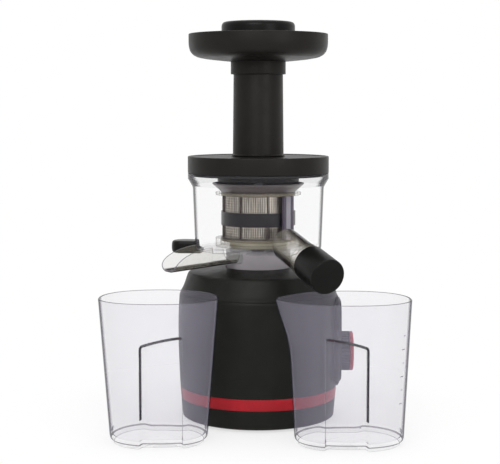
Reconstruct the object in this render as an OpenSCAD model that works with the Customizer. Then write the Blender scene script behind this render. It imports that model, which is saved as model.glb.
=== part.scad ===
// Vertical cold press juicer: a motor base with a two-stage gear train, a clear
// juicing bowl with strainer, auger and rotating brush, a lid with feed tube,
// a feed tray with pusher, and two clear jugs under the pulp chute and the spout.
// Millimetres, +Z up, origin on the floor under the axis of the motor base,
// -Y is the front, +X is the side with the control knob.

/* [Motor base] */
// Largest diameter of the motor base
base_d = 167.4; // [140:0.2:201]
// Diameter of the base at the floor
base_foot_d = 158; // [130:0.5:190]
// Height of the seam between the barrel and the shoulder cover
seam_z = 131; // [125:0.5:150]
// Height from the seam to the rim of the dome
shoulder_h = 21.8; // [18:0.2:30]
// Diameter of the rim of the dome
shoulder_d = 146.6; // [125:0.2:170]
// Rise of the dome from its rim to the bowl's neck
dome_rise = 5.2; // [3:0.2:8]
// Wall of the base mouldings
base_wall = 2.6; // [2:0.1:4]
// Lower edge of the red band
band_z = 22; // [18:0.5:40]
// Height of the red band
band_h = 12; // [6:0.5:20]
// Depth of the groove that holds the red band
band_t = 1.4; // [0.8:0.1:2]
// Thickness of the base plate
plate_t = 3; // [2:0.1:5]
// Height of the rubber feet under the plate
foot_h = 2.5; // [1.5:0.1:6]
// Diameter of a rubber foot
foot_d = 16; // [10:0.5:24]

/* [Control] */
// How far the panel's flat face stands out from the widest part of the barrel
panel_out = 2.3; // [0.8:0.1:26.3]
// Width of the control panel's flat face
panel_w = 52; // [46:1:64]
// Height of the control panel's flat face
panel_h = 84; // [60:1:86]
// Width of the sloping edge round the panel's face
panel_edge = 5.2; // [3:0.1:7]
// Height of the panel's middle above the floor
panel_z = 81.8; // [78:0.2:85]
// Height of the knob's axis above the floor
knob_z = 68.8; // [60:0.2:90]
// Diameter of the knob
knob_d = 41; // [30:0.5:48]
// Length of the knob from panel to face
knob_len = 13.2; // [9:0.2:22]
// Number of grip ribs round the knob
knob_ribs = 36; // [18:1:60]

/* [Drive] */
// Diameter of the motor can
motor_d = 84; // [70:1:100]
// Length of the motor can
motor_len = 70; // [50:1:80]
// Diameter of the motor shaft
shaft_d = 8; // [6:0.5:10]
// Distance between the motor's axis and the compound gear's axle
gear_dist = 33; // [28:0.5:38]
// Teeth of the motor pinion
pinion_n = 12; // [10:1:16]
// Teeth of the large gear on the axle
wheel1_n = 48; // [36:1:60]
// Teeth of the small gear on the axle
pinion2_n = 12; // [10:1:16]
// Teeth of the output gear
wheel2_n = 54; // [40:1:60]
// Diameter of the drive shaft
drive_d = 14; // [12:0.5:18]
// Distance across the flats of the drive hexagon
hex_af = 10; // [8:0.5:12]

/* [Bowl] */
// Outer diameter of the bowl's rim and of the lid
lid_d = 147; // [125:0.5:175]
// Outer diameter of the bowl below its shoulder
bowl_d = 136.8; // [120:0.2:160]
// Outer diameter of the bowl at its floor
bowl_floor_d = 132; // [112:0.5:150]
// Wall of the clear bowl
bowl_wall = 2.4; // [1.8:0.1:4]
// Height of the bowl's underside above the floor
bowl_z = 176; // [170:0.5:200]
// Height of the bowl from underside to rim with a strainer of 51 mm; a taller one raises the rim as much
bowl_h = 80; // [65:0.5:110]
// Outer diameter of the neck under the bowl
neck_d = 67.2; // [62:0.2:76]
// Clearance between the neck and its well in the base
neck_gap = 0.5; // [0.3:0.1:1]

/* [Strainer and auger] */
// Outer diameter of the strainer
strainer_d = 77.6; // [72:0.2:90]
// Wall of the strainer
strainer_wall = 2.2; // [1.5:0.1:3]
// Height of the strainer from its floor to its flange
strainer_h = 51; // [40:0.5:75]
// Clearance between the auger's flights and the strainer
auger_gap = 1.2; // [0.6:0.1:2]
// Diameter of the auger's core at its foot
auger_core_d = 52; // [40:1:60]
// Teeth of the auger gear
auger_n = 20; // [18:1:24]
// Teeth of the idler
idler_n = 16; // [12:1:20]
// Number of brush arms
arm_count = 2; // [2:1:4]

/* [Lid, tray and pusher] */
// Height of the lid
lid_h = 17.3; // [12:0.1:30]
// Bore of the feed tube
tube_bore = 46.6; // [38:0.2:60]
// Wall of the feed tube
tube_wall = 2.5; // [2:0.1:4]
// Length of the feed tube above the lid
tube_len = 96.5; // [60:0.5:130]
// Offset of the feed tube behind the machine's axis
tube_off = 12; // [6:0.5:14]
// Diameter of the feed tray
tray_d = 146; // [110:1:170]
// Height of the tray from its underside to its rim
tray_h = 28.8; // [20:0.2:40]
// Height of the collar under the tray
collar_h = 13.3; // [8:0.1:20]
// Wall of the tray
tray_wall = 2.5; // [2:0.1:4]
// Diameter of the pusher's cap
cap_d = 77; // [60:0.5:90]
// Height of the pusher's cap
cap_h = 36.5; // [25:0.5:50]
// Clearance round the pusher in the feed tube
pusher_gap = 0.7; // [0.4:0.1:1.5]

/* [Spout and chute] */
// Direction of the juice spout, degrees from the front towards +X
spout_az = 26; // [10:0.5:40]
// Fall of the juice spout below the horizontal
spout_fall = 15.4; // [5:0.2:20]
// Outer diameter of the spout tube
spout_d = 32; // [28:0.5:36]
// Distance of the spout's end from the machine's axis
spout_len = 130; // [115:0.5:150]
// Diameter of the drip cap
drip_d = 35.6; // [35:0.2:42]
// Length of the drip cap
drip_len = 37; // [25:0.5:45]
// Direction of the pulp chute, degrees from -X towards the front
chute_az = 30; // [15:1:45]
// Width of the pulp chute
chute_w = 36; // [28:0.5:42]
// Depth of the pulp chute
chute_h = 21; // [14:0.5:24]
// Distance of the chute's tip from the machine's axis
chute_len = 107; // [92:0.5:125]
// Fall of the pulp chute below the horizontal
chute_fall = 4.2; // [2:0.1:6]
// Wall of the chute and of the spout
duct_wall = 2; // [1.5:0.1:3]

/* [Jugs] */
// Height of the jugs
jug_h = 140; // [110:1:142]
// Length of a jug at its rim
jug_len = 117; // [95:1:120]
// Depth of a jug at its rim
jug_dep = 104; // [85:1:112]
// Length of a jug at its foot divided by the length at its rim
jug_taper = 0.81; // [0.7:0.01:1]
// The same taper of the jug under the spout, which is wider at its foot
juice_jug_taper = 0.875; // [0.7:0.005:1]
// How much longer the jug under the spout is at its rim
juice_jug_more = 3.6; // [0:0.2:8]
// Wall of the jugs
jug_wall = 2.2; // [1.6:0.1:3]
// Reach of the pouring lip beyond the rim
lip_reach = 12; // [8:0.5:20]
// Depth of the finger recesses in the jugs
recess = 9; // [4:0.5:14]
// Height of the finger recesses' upper edge at their middle
recess_z = 104; // [80:1:112]
// Rise of that edge across the recess, towards the machine
recess_rise = 8.4; // [0:0.2:14]
// Width of the finger recesses
recess_w = 40; // [30:1:60]
// Offset of the finger recesses towards the machine
recess_off = 4.7; // [0:0.1:10]

/* [Hidden] */

$fn = 96;
eps = 0.01;
// clearances
fit = 0.3;          // moving plastic parts
run = 0.05;         // radial clearance of a shaft in its bush

// motor base
base_r = base_d / 2;
foot_r = base_foot_d / 2;
dome_z = seam_z + shoulder_h;
neck_top_z = dome_z + dome_rise;
shoulder_r = shoulder_d / 2;
seam_r = base_r - 1.4;
plate_z = foot_h;
waist_z = 95;
well_r = neck_d / 2 + neck_gap;
well_in_r = neck_d / 2 - bowl_wall - neck_gap;
well_z = neck_top_z - 9;
foot_pcd = foot_r - 16;
post_r = foot_r - 14;

// drive train, from the floor up
motor_z = 26;
motor_top = motor_z + motor_len;
gear_z = motor_top + 13;
gear1_h = 8;
gear_space = 2;
gear2_z = gear_z + gear1_h + gear_space;
gear2_h = 10;
case_z = gear_z - 7;
case_t = 3;
cover_z = gear2_z + gear2_h + 2;
case_wall = 3;
axle_d = 6;
bear_h = 5;
bear_d = 26;
gear_m1 = 2 * gear_dist / (pinion_n + wheel1_n);
gear_m2 = 2 * gear_dist / (pinion2_n + wheel2_n);
axle_ang = 90;
backlash = 0.1;
rotor_r = 24;
motor_pcd = 26;
damper_pcd = 30;
fan_r = 22;
knob_face_t = 3.6;
panel_x = base_r + panel_out;
panel_screw_x = sqrt(pow(barrel_r(panel_z) - base_wall, 2) - pow(panel_w / 2 - 3, 2)) - 2;
board_x = -62;

// bowl and what it holds, from its floor up
bowl_r = bowl_d / 2;
bowl_fr = bowl_floor_d / 2;
rim_r = lid_d / 2;
rim_z = bowl_z + bowl_h + strainer_h - 51;
floor_t = 3;
floor_z = bowl_z + floor_t;
neck_z = well_z + 0.6;
mod_b = 1;
idler_dist = mod_b * (auger_n + idler_n) / 2;
ring_n = auger_n + 2 * idler_n;
gear_b_h = 5;
gear_b_z = floor_z + 0.5;
chute_dir = 180 + chute_az;
idler_ang = chute_dir + 180;
ring_r = mod_b * ring_n / 2;
str_z = gear_b_z + gear_b_h + 1.2;
str_t = 2.2;
str_r = strainer_d / 2;
str_top = str_z + strainer_h;
flange_rise = 9;
flange_r = str_r + 9;
auger_r = str_r - strainer_wall - auger_gap;
auger_z = str_z + str_t + 0.6;
auger_top = str_top - 2;
pin_d = 10;
pin_top = rim_z - 1.2;
arm_in = str_r + 0.8;
arm_out = arm_in + 5;
drive_top = auger_z + 24;
hub_r = 11;
hex_z = bowl_z - 2;
seal_z = bowl_z - 13;
seal_h = 4;
bush_h = 9;
hub_in_r = hub_r - 1.5;
hub_hole_r = 9.2;
plug_r = 21;
plug_ang = chute_dir + 105;
ring_out_r = ring_r + 4;
arm_top = str_top - 0.4;
arm_ang = -45;
arm_ring_h = 3;
grip_len = 26;
spout_in = 46;
chute_root = bowl_fr - 3;
bush_r = 7;
grip_ang = 172;
grip_w = 26;
grip_h = 13;
grip_drop = 4.5;
inlet_z = 30;
inlet_y = barrel_r(inlet_z) + 2.32;
pulp_r = 18;
pulp_w = 10;
pulp_l = 20;
hub_bore_r = drive_d / 2 + 0.4;

// lid, tray, pusher
lid_z = rim_z + fit;
lid_top = lid_z + lid_h;
lid_wall = 2.5;
skirt_h = 3.2;
gasket_h = 1.4;
tube_r = tube_bore / 2 + tube_wall;
tube_top = lid_top + tube_len;
boss_r = 42.5;
boss_z = str_top + flange_rise + 1.5;
collar_r = tube_r + fit + 2.7;
collar_z = tube_top - collar_h + 2;
tray_z = collar_z + collar_h;
tray_r = tray_d / 2;
tray_top = tray_z + tray_h;
tray_in_z = tray_z + tray_wall + 2.4;
push_r = tube_bore / 2 - pusher_gap;
cap_r = cap_d / 2;
cap_z = tray_in_z + 0.1;
cap_top = cap_z + cap_h;
push_z = lid_z + 12;

// spout and chute: distances run along their own sloping axes
spout_r = spout_d / 2;
spout_z = bowl_z + 28.5;
drip_r = drip_d / 2;
drip_wall = 2.5;
seal_t = 2.5;
drip_from = spout_len + 25 - drip_len;
chute_z = bowl_z + 11;
chute_in = 14;

// jugs
pulp_jug_at = [-(base_r + 13.8), -(base_r + 21.3)];
juice_jug_at = [base_r + 3.5, -(base_r + 30.3)];
jug_floor = 3;
jug_sides = 72;

// ---------- helpers ----------
module ring(ro, ri, z0, z1) {
    translate([0, 0, z0]) difference() {
        cylinder(h = z1 - z0, r = ro);
        translate([0, 0, -1]) cylinder(h = z1 - z0 + 2, r = ri);
    }
}
module disc(r, z0, z1) { translate([0, 0, z0]) cylinder(h = z1 - z0, r = r); }
module at_polar(r, a, z = 0) { rotate([0, 0, a]) translate([r, 0, z]) children(); }
module around(n, r, z = 0, from = 0) {
    for (i = [0 : n - 1]) at_polar(r, from + i * 360 / n, z) children();
}
// pan-head screw pointing up, head below z = 0
module screw(d, l, head_d = 0) {
    hd = head_d > 0 ? head_d : 2 * d;
    difference() {
        union() {
            cylinder(h = l, r = d / 2, $fn = 24);
            translate([0, 0, -d * 0.6]) cylinder(h = d * 0.6, r = hd / 2, $fn = 32);
        }
        for (a = [0, 90]) rotate([0, 0, a])
            translate([-hd * 0.3, -d * 0.1, -d * 0.7]) cube([hd * 0.6, d * 0.2, d * 0.45]);
    }
}
// angle by which the involute of a circle of radius b has turned away at radius r, in degrees
function inv_ang(b, r) = let (c = max(r / b, 1), t = sqrt(c * c - 1)) t * 180 / PI - atan(t);
// outline of an involute gear, one tooth centred on +X; grow moves the flanks outwards
function gear_pts(n, m, grow, add, ded, pa = 25) =
    let (rp = m * n / 2, rb = rp * cos(pa), ra = rp + add * m, rf = rp - ded * m,
         half = (PI * m / 4 + grow) / rp * 180 / PI + inv_ang(rb, rp), steps = 5,
         r0 = max(rb, rf))
    [for (i = [0 : n - 1]) let (c = i * 360 / n) each concat(
        rf < rb ? [[rf, c - half]] : [],
        [for (s = [0 : steps]) let (r = r0 + (ra - r0) * s / steps) [r, c - half + inv_ang(rb, r)]],
        [for (s = [steps : -1 : 0]) let (r = r0 + (ra - r0) * s / steps) [r, c + half - inv_ang(rb, r)]],
        rf < rb ? [[rf, c + half]] : [])];
module gear2d(n, m, grow = 0, add = 0.9, ded = 1.2) {
    polygon([for (p = gear_pts(n, m, grow, add, ded)) [p[0] * cos(p[1]), p[0] * sin(p[1])]]);
}
module gear(n, m, z, h, ang, bore) {
    translate([0, 0, z]) difference() {
        rotate([0, 0, ang]) linear_extrude(h) gear2d(n, m, -backlash);
        translate([0, 0, -1]) cylinder(h = h + 2, r = bore);
    }
}

// ---------- motor base ----------
// radius of the barrel's outside at height z
function barrel_r(z) = z < waist_z
    ? foot_r + (base_r - foot_r) * (1 - pow((waist_z - z) / (waist_z - plate_z), 2))
    : base_r - (base_r - seam_r) * pow((z - waist_z) / (seam_z - waist_z), 2);
function barrel_line(z0, z1, n, off) =
    [for (i = [0 : n]) let (z = z0 + (z1 - z0) * i / n) [barrel_r(z) + off, z]];
module barrel_solid(off, z0, z1) {
    rotate_extrude() polygon(concat([[0, z0]], barrel_line(z0, z1, 12, off), [[0, z1]]));
}
// ring that follows the barrel, from off_in to off_out of its surface
module barrel_ring(off_in, off_out, z0, z1, n = 4) {
    out = barrel_line(z0, z1, n, off_out);
    in = barrel_line(z0, z1, n, off_in);
    rotate_extrude() polygon(concat(out, [for (i = [n : -1 : 0]) in[i]]));
}
module panel_2d(grow = 0) {
    r = panel_w * 0.3 + grow;
    w = panel_w / 2 + grow - r;
    h = panel_h / 2 + grow - r;
    hull() for (sx = [-1, 1], sy = [-1, 1]) translate([sx * w, sy * h]) circle(r, $fn = 48);
}
// puts a shape drawn in X-Y, with its height along Z, on the panel, facing +X
module on_panel(x = panel_x, z = panel_z) {
    translate([x, 0, z]) rotate([90, 0, 90]) children();
}
module body_shell() color("#2b2c28") {
    difference() {
        rotate_extrude() polygon(concat([[0, plate_z]], barrel_line(plate_z, seam_z - 0.8, 14, 0),
            [[seam_r - 0.9, seam_z], [0, seam_z]]));
        barrel_solid(-base_wall, plate_z - 1, seam_z + 1);
        // groove of the band
        barrel_ring(-band_t, 2, band_z, band_z + band_h);
        panel_screw_places() translate([0, 0, -3]) cylinder(h = 20, r = 1.7, $fn = 24);
        // hole for the switch's neck and for the cord inlet
        translate([panel_x - 30, 0, knob_z]) rotate([0, 90, 0]) cylinder(h = 40, r = 9);
        translate([0, inlet_y - 20, inlet_z]) rotate([-90, 0, 0]) cylinder(h = 40, r = 8);
    }
    // pillars of the control board
    intersection() {
        for (z = [52, 84]) translate([-base_r, 0, z]) rotate([0, 90, 0])
            cylinder(h = base_r + board_x, r = 4);
        barrel_solid(-base_wall / 2, plate_z, seam_z);
    }
    // posts for the plate's screws, joined to the wall by ribs
    difference() {
        intersection() {
            around(3, post_r, plate_z + plate_t, 30) {
                cylinder(h = 24, r = 5);
                translate([0, -1.5, 0]) cube([base_r, 3, 24]);
            }
            barrel_solid(-base_wall / 2, plate_z, band_z + band_h + 10);
        }
        around(3, post_r, plate_z, 30) cylinder(h = 18, r = 1.6, $fn = 24);
    }
}
module red_band() color("#9c1626") barrel_ring(-band_t + 0.05, 0.2, band_z + 0.05, band_z + band_h - 0.05);
module shoulder_cover() color("#30312d") {
    plateau_z = neck_top_z - 2;
    hub_z = bowl_z - 8;
    w = base_wall;
    difference() {
        rotate_extrude() polygon([
            [seam_r - w, seam_z], [seam_r - 0.5, seam_z], [seam_r - 1.1, seam_z + 1.2],
            [seam_r - 2.4, seam_z + 3.8], [shoulder_r + 5, seam_z + 7],
            [shoulder_r + 0.9, dome_z - 3.4], [shoulder_r, dome_z - 1.4],
            [shoulder_r - 1.2, dome_z - 0.3], [shoulder_r - 3, dome_z + 0.35],
            [well_r + 1, neck_top_z], [well_r, neck_top_z - 0.6], [well_r, well_z], [well_in_r, well_z],
            [well_in_r, plateau_z], [hub_r, plateau_z], [hub_r, hub_z - 1], [hub_r - 1, hub_z],
            [hub_bore_r, hub_z], [hub_bore_r, seal_z + seal_h],
            [hub_in_r, seal_z + seal_h], [hub_in_r, seal_z - bush_h], [hub_bore_r, seal_z - bush_h],
            [hub_bore_r, cover_z + 13], [hub_r + 4, cover_z + 13],
            [hub_r + 4, plateau_z - w], [well_in_r - w, plateau_z - w], [well_in_r - w, well_z - w],
            [well_r + w, well_z - w], [well_r + w, neck_top_z - w - 0.6],
            [shoulder_r - 3, dome_z - w], [shoulder_r + 2, seam_z + 7], [seam_r - w - 2, seam_z + 2]]);
        // slots that keep the bowl from turning
        around(3, well_r, 0, 90) translate([-1, -3.4, well_z]) cube([3, 6.8, 20]);
    }
    // lip that centres the cover in the barrel
    ring(barrel_r(seam_z) - base_wall - 0.1, barrel_r(seam_z) - base_wall - 2, seam_z - 3, seam_z + 2);
}
module base_plate() color("#222220") difference() {
    union() {
        disc(foot_r - base_wall + 0.1 - fit, plate_z, plate_z + plate_t);
        around(4, damper_pcd, plate_z, 45) cylinder(h = motor_z - plate_z - 6, r = 5);
    }
    around(3, post_r, 0, 30) cylinder(h = 20, r = 1.9, $fn = 24);
    foot_places() translate([0, 0, plate_z - 1]) cylinder(h = 2.2, r = foot_d / 2 + 0.1);
    // ventilation slots under the fan, on both sides of the middle foot
    for (s = [-1, 1], i = [0 : 3]) translate([s * (foot_d / 2 + 3.5 + i * 6) - 1.5, -16, 0]) cube([3, 32, 10]);
}
// four feet near the rim and one under the motor
module foot_places() {
    around(4, foot_pcd, 0, 45) children();
    children();
}
module rubber_feet() color("#1a1a1a") foot_places() {
    cylinder(h = foot_h + 1.2, r1 = foot_d / 2 - 0.8, r2 = foot_d / 2);
}
module base_screws() color("#b8b8b8") {
    around(3, post_r, plate_z - eps, 30) screw(3.2, 14, 5.6);
}
// screws that hold the panel from inside the barrel, axes along +X
module panel_screw_places() {
    for (sy = [-1, 1], sz = [-1, 1])
        translate([panel_screw_x, sy * (panel_w / 2 - 3), panel_z + sz * (panel_h / 2 - 10)])
            rotate([0, 90, 0]) children();
}
module control_panel() color("#33332f") difference() {
    union() {
        on_panel(panel_x - 0.8) linear_extrude(0.8) panel_2d();
        on_panel(panel_x - 3.7) linear_extrude(2.9, slices = 1,
            scale = [panel_w / (panel_w + 2 * panel_edge), panel_h / (panel_h + 2 * panel_edge)])
            panel_2d(panel_edge);
        on_panel(panel_x - 20) linear_extrude(16.3) panel_2d(panel_edge);
    }
    barrel_solid(0.05, plate_z, seam_z);
    translate([panel_x - 10, 0, knob_z]) rotate([0, 90, 0]) cylinder(h = 20, r = 7);
    panel_screw_places() cylinder(h = panel_x - 1.5 - panel_screw_x, r = 1.5, $fn = 24);
}
module panel_screws() color("#3c3c3a") {
    panel_screw_places() screw(3, panel_x - 2 - panel_screw_x, 5.4);
}
module knob_grip() color("#232321") translate([0, 0, knob_z]) rotate([0, 90, 0]) difference() {
    union() {
        translate([0, 0, panel_x + fit]) cylinder(h = knob_len - knob_face_t - fit, r = knob_d / 2 - 0.8);
        for (i = [0 : knob_ribs - 1]) rotate([0, 0, i * 360 / knob_ribs])
            translate([knob_d / 2 - 1.5, -0.7, panel_x + fit + 0.6])
                cube([1.5, 1.4, knob_len - knob_face_t - fit - 0.6]);
    }
    translate([0, 0, panel_x]) cylinder(h = 7.5, r = 4);
    // hollow behind the face, with its spokes left standing
    translate([0, 0, panel_x - 1]) difference() {
        cylinder(h = 7, r = knob_d / 2 - 3);
        cylinder(h = 8, r = 6.5);
    }
}
module knob_face() color("#b0202c") translate([0, 0, knob_z]) rotate([0, 90, 0]) {
    face_z = panel_x + knob_len - knob_face_t;
    difference() {
        union() {
            translate([0, 0, face_z]) cylinder(h = knob_face_t - 0.8, r = knob_d / 2);
            translate([0, 0, face_z + knob_face_t - 0.8])
                cylinder(h = 0.8, r1 = knob_d / 2, r2 = knob_d / 2 - 0.8);
        }
        // groove of the pointer
        rotate([0, 0, 180]) translate([5, -1, face_z + knob_face_t - 0.6]) cube([knob_d / 2 - 8, 2, 2]);
    }
}
module switch_spindle() color("#c9c9c9") translate([0, 0, knob_z]) rotate([0, 90, 0]) {
    translate([0, 0, panel_x - 24]) cylinder(h = 31.4, r = 3);
}
module rotary_switch() color("#3a3a3a") translate([0, 0, knob_z]) rotate([0, 90, 0]) difference() {
    union() {
        translate([-14, -14, panel_x - 30]) cube([28, 28, 18]);
        translate([0, 0, panel_x - 12.1]) cylinder(h = 11, r = 6.6);
        for (s = [-1, 1]) translate([s * 9 - 0.4, -10, panel_x - 38]) cube([0.8, 20, 8.1]);
    }
    translate([0, 0, panel_x - 24.2]) cylinder(h = 40, r = 3 + run);
}
module cord_inlet() color("#1d1d1d") translate([0, inlet_y, inlet_z]) rotate([-90, 0, 0]) difference() {
    union() {
        translate([0, 0, -20]) cylinder(h = 20 - 4.6, r = 7.8);
        translate([0, 0, -14]) cylinder(h = 4, r = 11);
    }
    translate([0, 0, -21]) cylinder(h = 22, r = 3.6);
}

// ---------- motor ----------
module motor_can() color("#8d9092") difference() {
    union() {
        ring(motor_d / 2, motor_d / 2 - 2, motor_z, motor_top);
        disc(motor_d / 2, motor_top - 2.5, motor_top);
        disc(motor_d / 2, motor_z, motor_z + 2.5);
        // poles of the stator
        for (a = [0, 180]) rotate([0, 0, a]) intersection() {
            ring(motor_d / 2 - 1.9, rotor_r + 1, motor_z + 12, motor_top - 12);
            translate([0, -motor_d * 0.32, motor_z]) cube([motor_d, motor_d * 0.64, motor_len]);
        }
    }
    disc(shaft_d / 2 + run, motor_z - 1, motor_top + 1);
    around(4, motor_d / 2 - 8, motor_z - 1, 0) cylinder(h = 4, r = 4, $fn = 32);
    around(4, motor_pcd, motor_top - 3, 45) cylinder(h = 4, r = 2.1, $fn = 24);
}
module motor_rotor() color("#a9794b") {
    disc(shaft_d / 2, motor_z - 14, gear_z + gear1_h);
    // laminated core, wire heads and commutator
    difference() {
        ring(rotor_r, shaft_d / 2 - eps, motor_z + 14, motor_top - 20);
        around(12, rotor_r, motor_z + 13) cylinder(h = motor_len, r = 1.6, $fn = 20);
    }
    ring(rotor_r - 4, shaft_d / 2 - eps, motor_z + 9, motor_top - 16);
    ring(11, shaft_d / 2 - eps, motor_top - 16 - eps, motor_top - 5);
}
module motor_fan() color("#4a4d50") difference() {
    union() {
        disc(9, motor_z - 13, motor_z - 4);
        disc(fan_r, motor_z - 5.5, motor_z - 4);
        for (i = [0 : 8]) rotate([0, 0, i * 40]) translate([8, -0.8, motor_z - 13])
            cube([fan_r - 8.5, 1.6, 8]);
    }
    disc(shaft_d / 2, motor_z - 14, motor_z);
}
module motor_pinion() color("#c8ccd0") {
    gear(pinion_n, gear_m1, gear_z, gear1_h, axle_ang, shaft_d / 2);
}
module motor_screws() color("#b8b8b8") {
    around(4, motor_pcd, case_z + case_t, 45) rotate([180, 0, 0])
        screw(4, case_z + case_t - motor_top + 2, 7);
}
module vibration_dampers() color("#1c1c1c") around(4, damper_pcd, 0, 45) {
    translate([0, 0, motor_z - 6]) cylinder(h = 6, r = 6);
}

// ---------- gearbox ----------
module case_2d(grow = 0) {
    r1 = gear_m2 * wheel2_n / 2 + 4 + grow;
    r2 = gear_m1 * wheel1_n / 2 + 4 + grow;
    hull() {
        circle(r1);
        rotate(axle_ang) translate([gear_dist, 0]) circle(r2);
    }
}
// places of the screws that hold the gearbox together, in ears outside its wall
module case_ears() {
    r1 = gear_m2 * wheel2_n / 2 + 4 + case_wall + 1.5;
    r2 = gear_dist + gear_m1 * wheel1_n / 2 + 4 + case_wall + 1.5;
    for (q = [[r1, 200], [r1, 340], [r2, axle_ang]]) at_polar(q[0], q[1]) children();
}
module gearbox_case() color("#9a9da0") difference() {
    union() {
        translate([0, 0, case_z]) linear_extrude(cover_z - case_z) case_2d(case_wall);
        around(4, motor_pcd, motor_top, 45) cylinder(h = case_z - motor_top + 0.1, r = 5);
        case_ears() disc(4.6, cover_z - 12, cover_z);
    }
    case_ears() disc(1.5, cover_z - 10, cover_z + 1);
    translate([0, 0, case_z + case_t]) linear_extrude(cover_z) case_2d();
    disc(shaft_d / 2 + 1, case_z - 1, cover_z);
    around(4, motor_pcd, motor_top - 1, 45) cylinder(h = 20, r = 2.1, $fn = 24);
    at_polar(gear_dist, axle_ang, case_z - 1) cylinder(h = 6, r = axle_d / 2);
}
module gearbox_cover() color("#a6a9ac") difference() {
    union() {
        translate([0, 0, cover_z]) linear_extrude(4) case_2d(case_wall);
        disc(bear_d / 2 + 3, cover_z, cover_z + 4 + bear_h + 1);
        case_ears() disc(4.6, cover_z, cover_z + 4);
    }
    case_ears() disc(1.7, cover_z - 1, cover_z + 5);
    disc(bear_d / 2, cover_z + 5, cover_z + 20);
    disc(drive_d / 2 + 1, cover_z - 1, cover_z + 20);
    at_polar(gear_dist, axle_ang, cover_z - 1) cylinder(h = 6, r = axle_d / 2);
}
module gearbox_screws() color("#b8b8b8") {
    case_ears() translate([0, 0, cover_z + 4]) rotate([180, 0, 0]) screw(3, 12, 6);
}
module compound_gear() color("#e4e0d4") rotate([0, 0, axle_ang]) translate([gear_dist, 0, 0]) {
    gear(wheel1_n, gear_m1, gear_z, gear1_h, 180 + 180 / wheel1_n, axle_d / 2 + run);
    ring(pinion2_n * gear_m2 / 2 - 0.5, axle_d / 2 + run, gear_z + gear1_h - eps, gear2_z + eps);
    gear(pinion2_n, gear_m2, gear2_z, gear2_h, 180, axle_d / 2 + run);
}
module compound_axle() color("#c8ccd0") at_polar(gear_dist, axle_ang, case_z) {
    cylinder(h = cover_z + 4 - case_z, r = axle_d / 2);
}
module output_gear() color("#e4e0d4") {
    gear(wheel2_n, gear_m2, gear2_z + 0.5, gear2_h - 1, axle_ang + 180 / wheel2_n, drive_d / 2);
}
module hexagon(af, h) { cylinder(h = h, r = af / sqrt(3), $fn = 6); }
module drive_shaft() color("#c8ccd0") {
    disc(drive_d / 2, gear2_z + 0.5, hex_z);
    translate([0, 0, hex_z]) hexagon(hex_af, drive_top - hex_z - 1);
    translate([0, 0, drive_top - 1]) cylinder(h = 1, r1 = hex_af / 2, r2 = hex_af / 2 - 1);
    ring(drive_d / 2 + 2.5, drive_d / 2 - eps, cover_z - 1.6, cover_z - 0.4);
}
module ball_bearing(z) {
    m = (bear_d / 2 + drive_d / 2) / 2;
    ring(bear_d / 2, bear_d / 2 - 2.6, z, z + bear_h);
    ring(drive_d / 2 + 2, drive_d / 2 + run, z, z + bear_h);
    ring(bear_d / 2 - 2.6, drive_d / 2 + 2, z + 0.6, z + bear_h - 0.6);
}
module lower_bearing() color("#d0d3d6") ball_bearing(cover_z + 5);
module upper_bearing() color("#b88a4a") ring(hub_in_r, drive_d / 2 + run, seal_z - bush_h, seal_z);
module shaft_seal() color("#26221f") ring(hub_in_r, drive_d / 2 + run, seal_z, seal_z + seal_h);
module control_board() color("#2f6a3c") {
    translate([board_x, -16, 44]) cube([1.6, 32, 46]);
    for (z = [50, 68]) translate([board_x + 1.6, -8, z]) cube([9, 16, 12]);
    translate([board_x + 1.6, 11, 76]) cube([3, 3, 10]);
}

// ---------- bowl ----------
module along_spout(s = 0) {
    translate([0, 0, spout_z]) rotate([0, 0, spout_az - 90]) rotate([0, 90 + spout_fall, 0])
        translate([0, 0, s]) children();
}
function bowl_out() = [
    [bowl_fr - 3, bowl_z], [bowl_fr - 0.9, bowl_z + 0.9], [bowl_fr, bowl_z + 3], [bowl_r, rim_z - 14.5],
    [rim_r - 0.5, rim_z - 6.6], [rim_r, rim_z - 5.8], [rim_r, rim_z]];
module bowl_outside() {
    rotate_extrude() polygon(concat([[0, bowl_z]], bowl_out(), [[0, rim_z]]));
}
module chute_path(s = 0, z = 0) {
    rotate([0, 0, chute_dir]) translate([0, 0, chute_z]) rotate([0, chute_fall, 0])
        translate([s, 0, z]) children();
}
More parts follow.
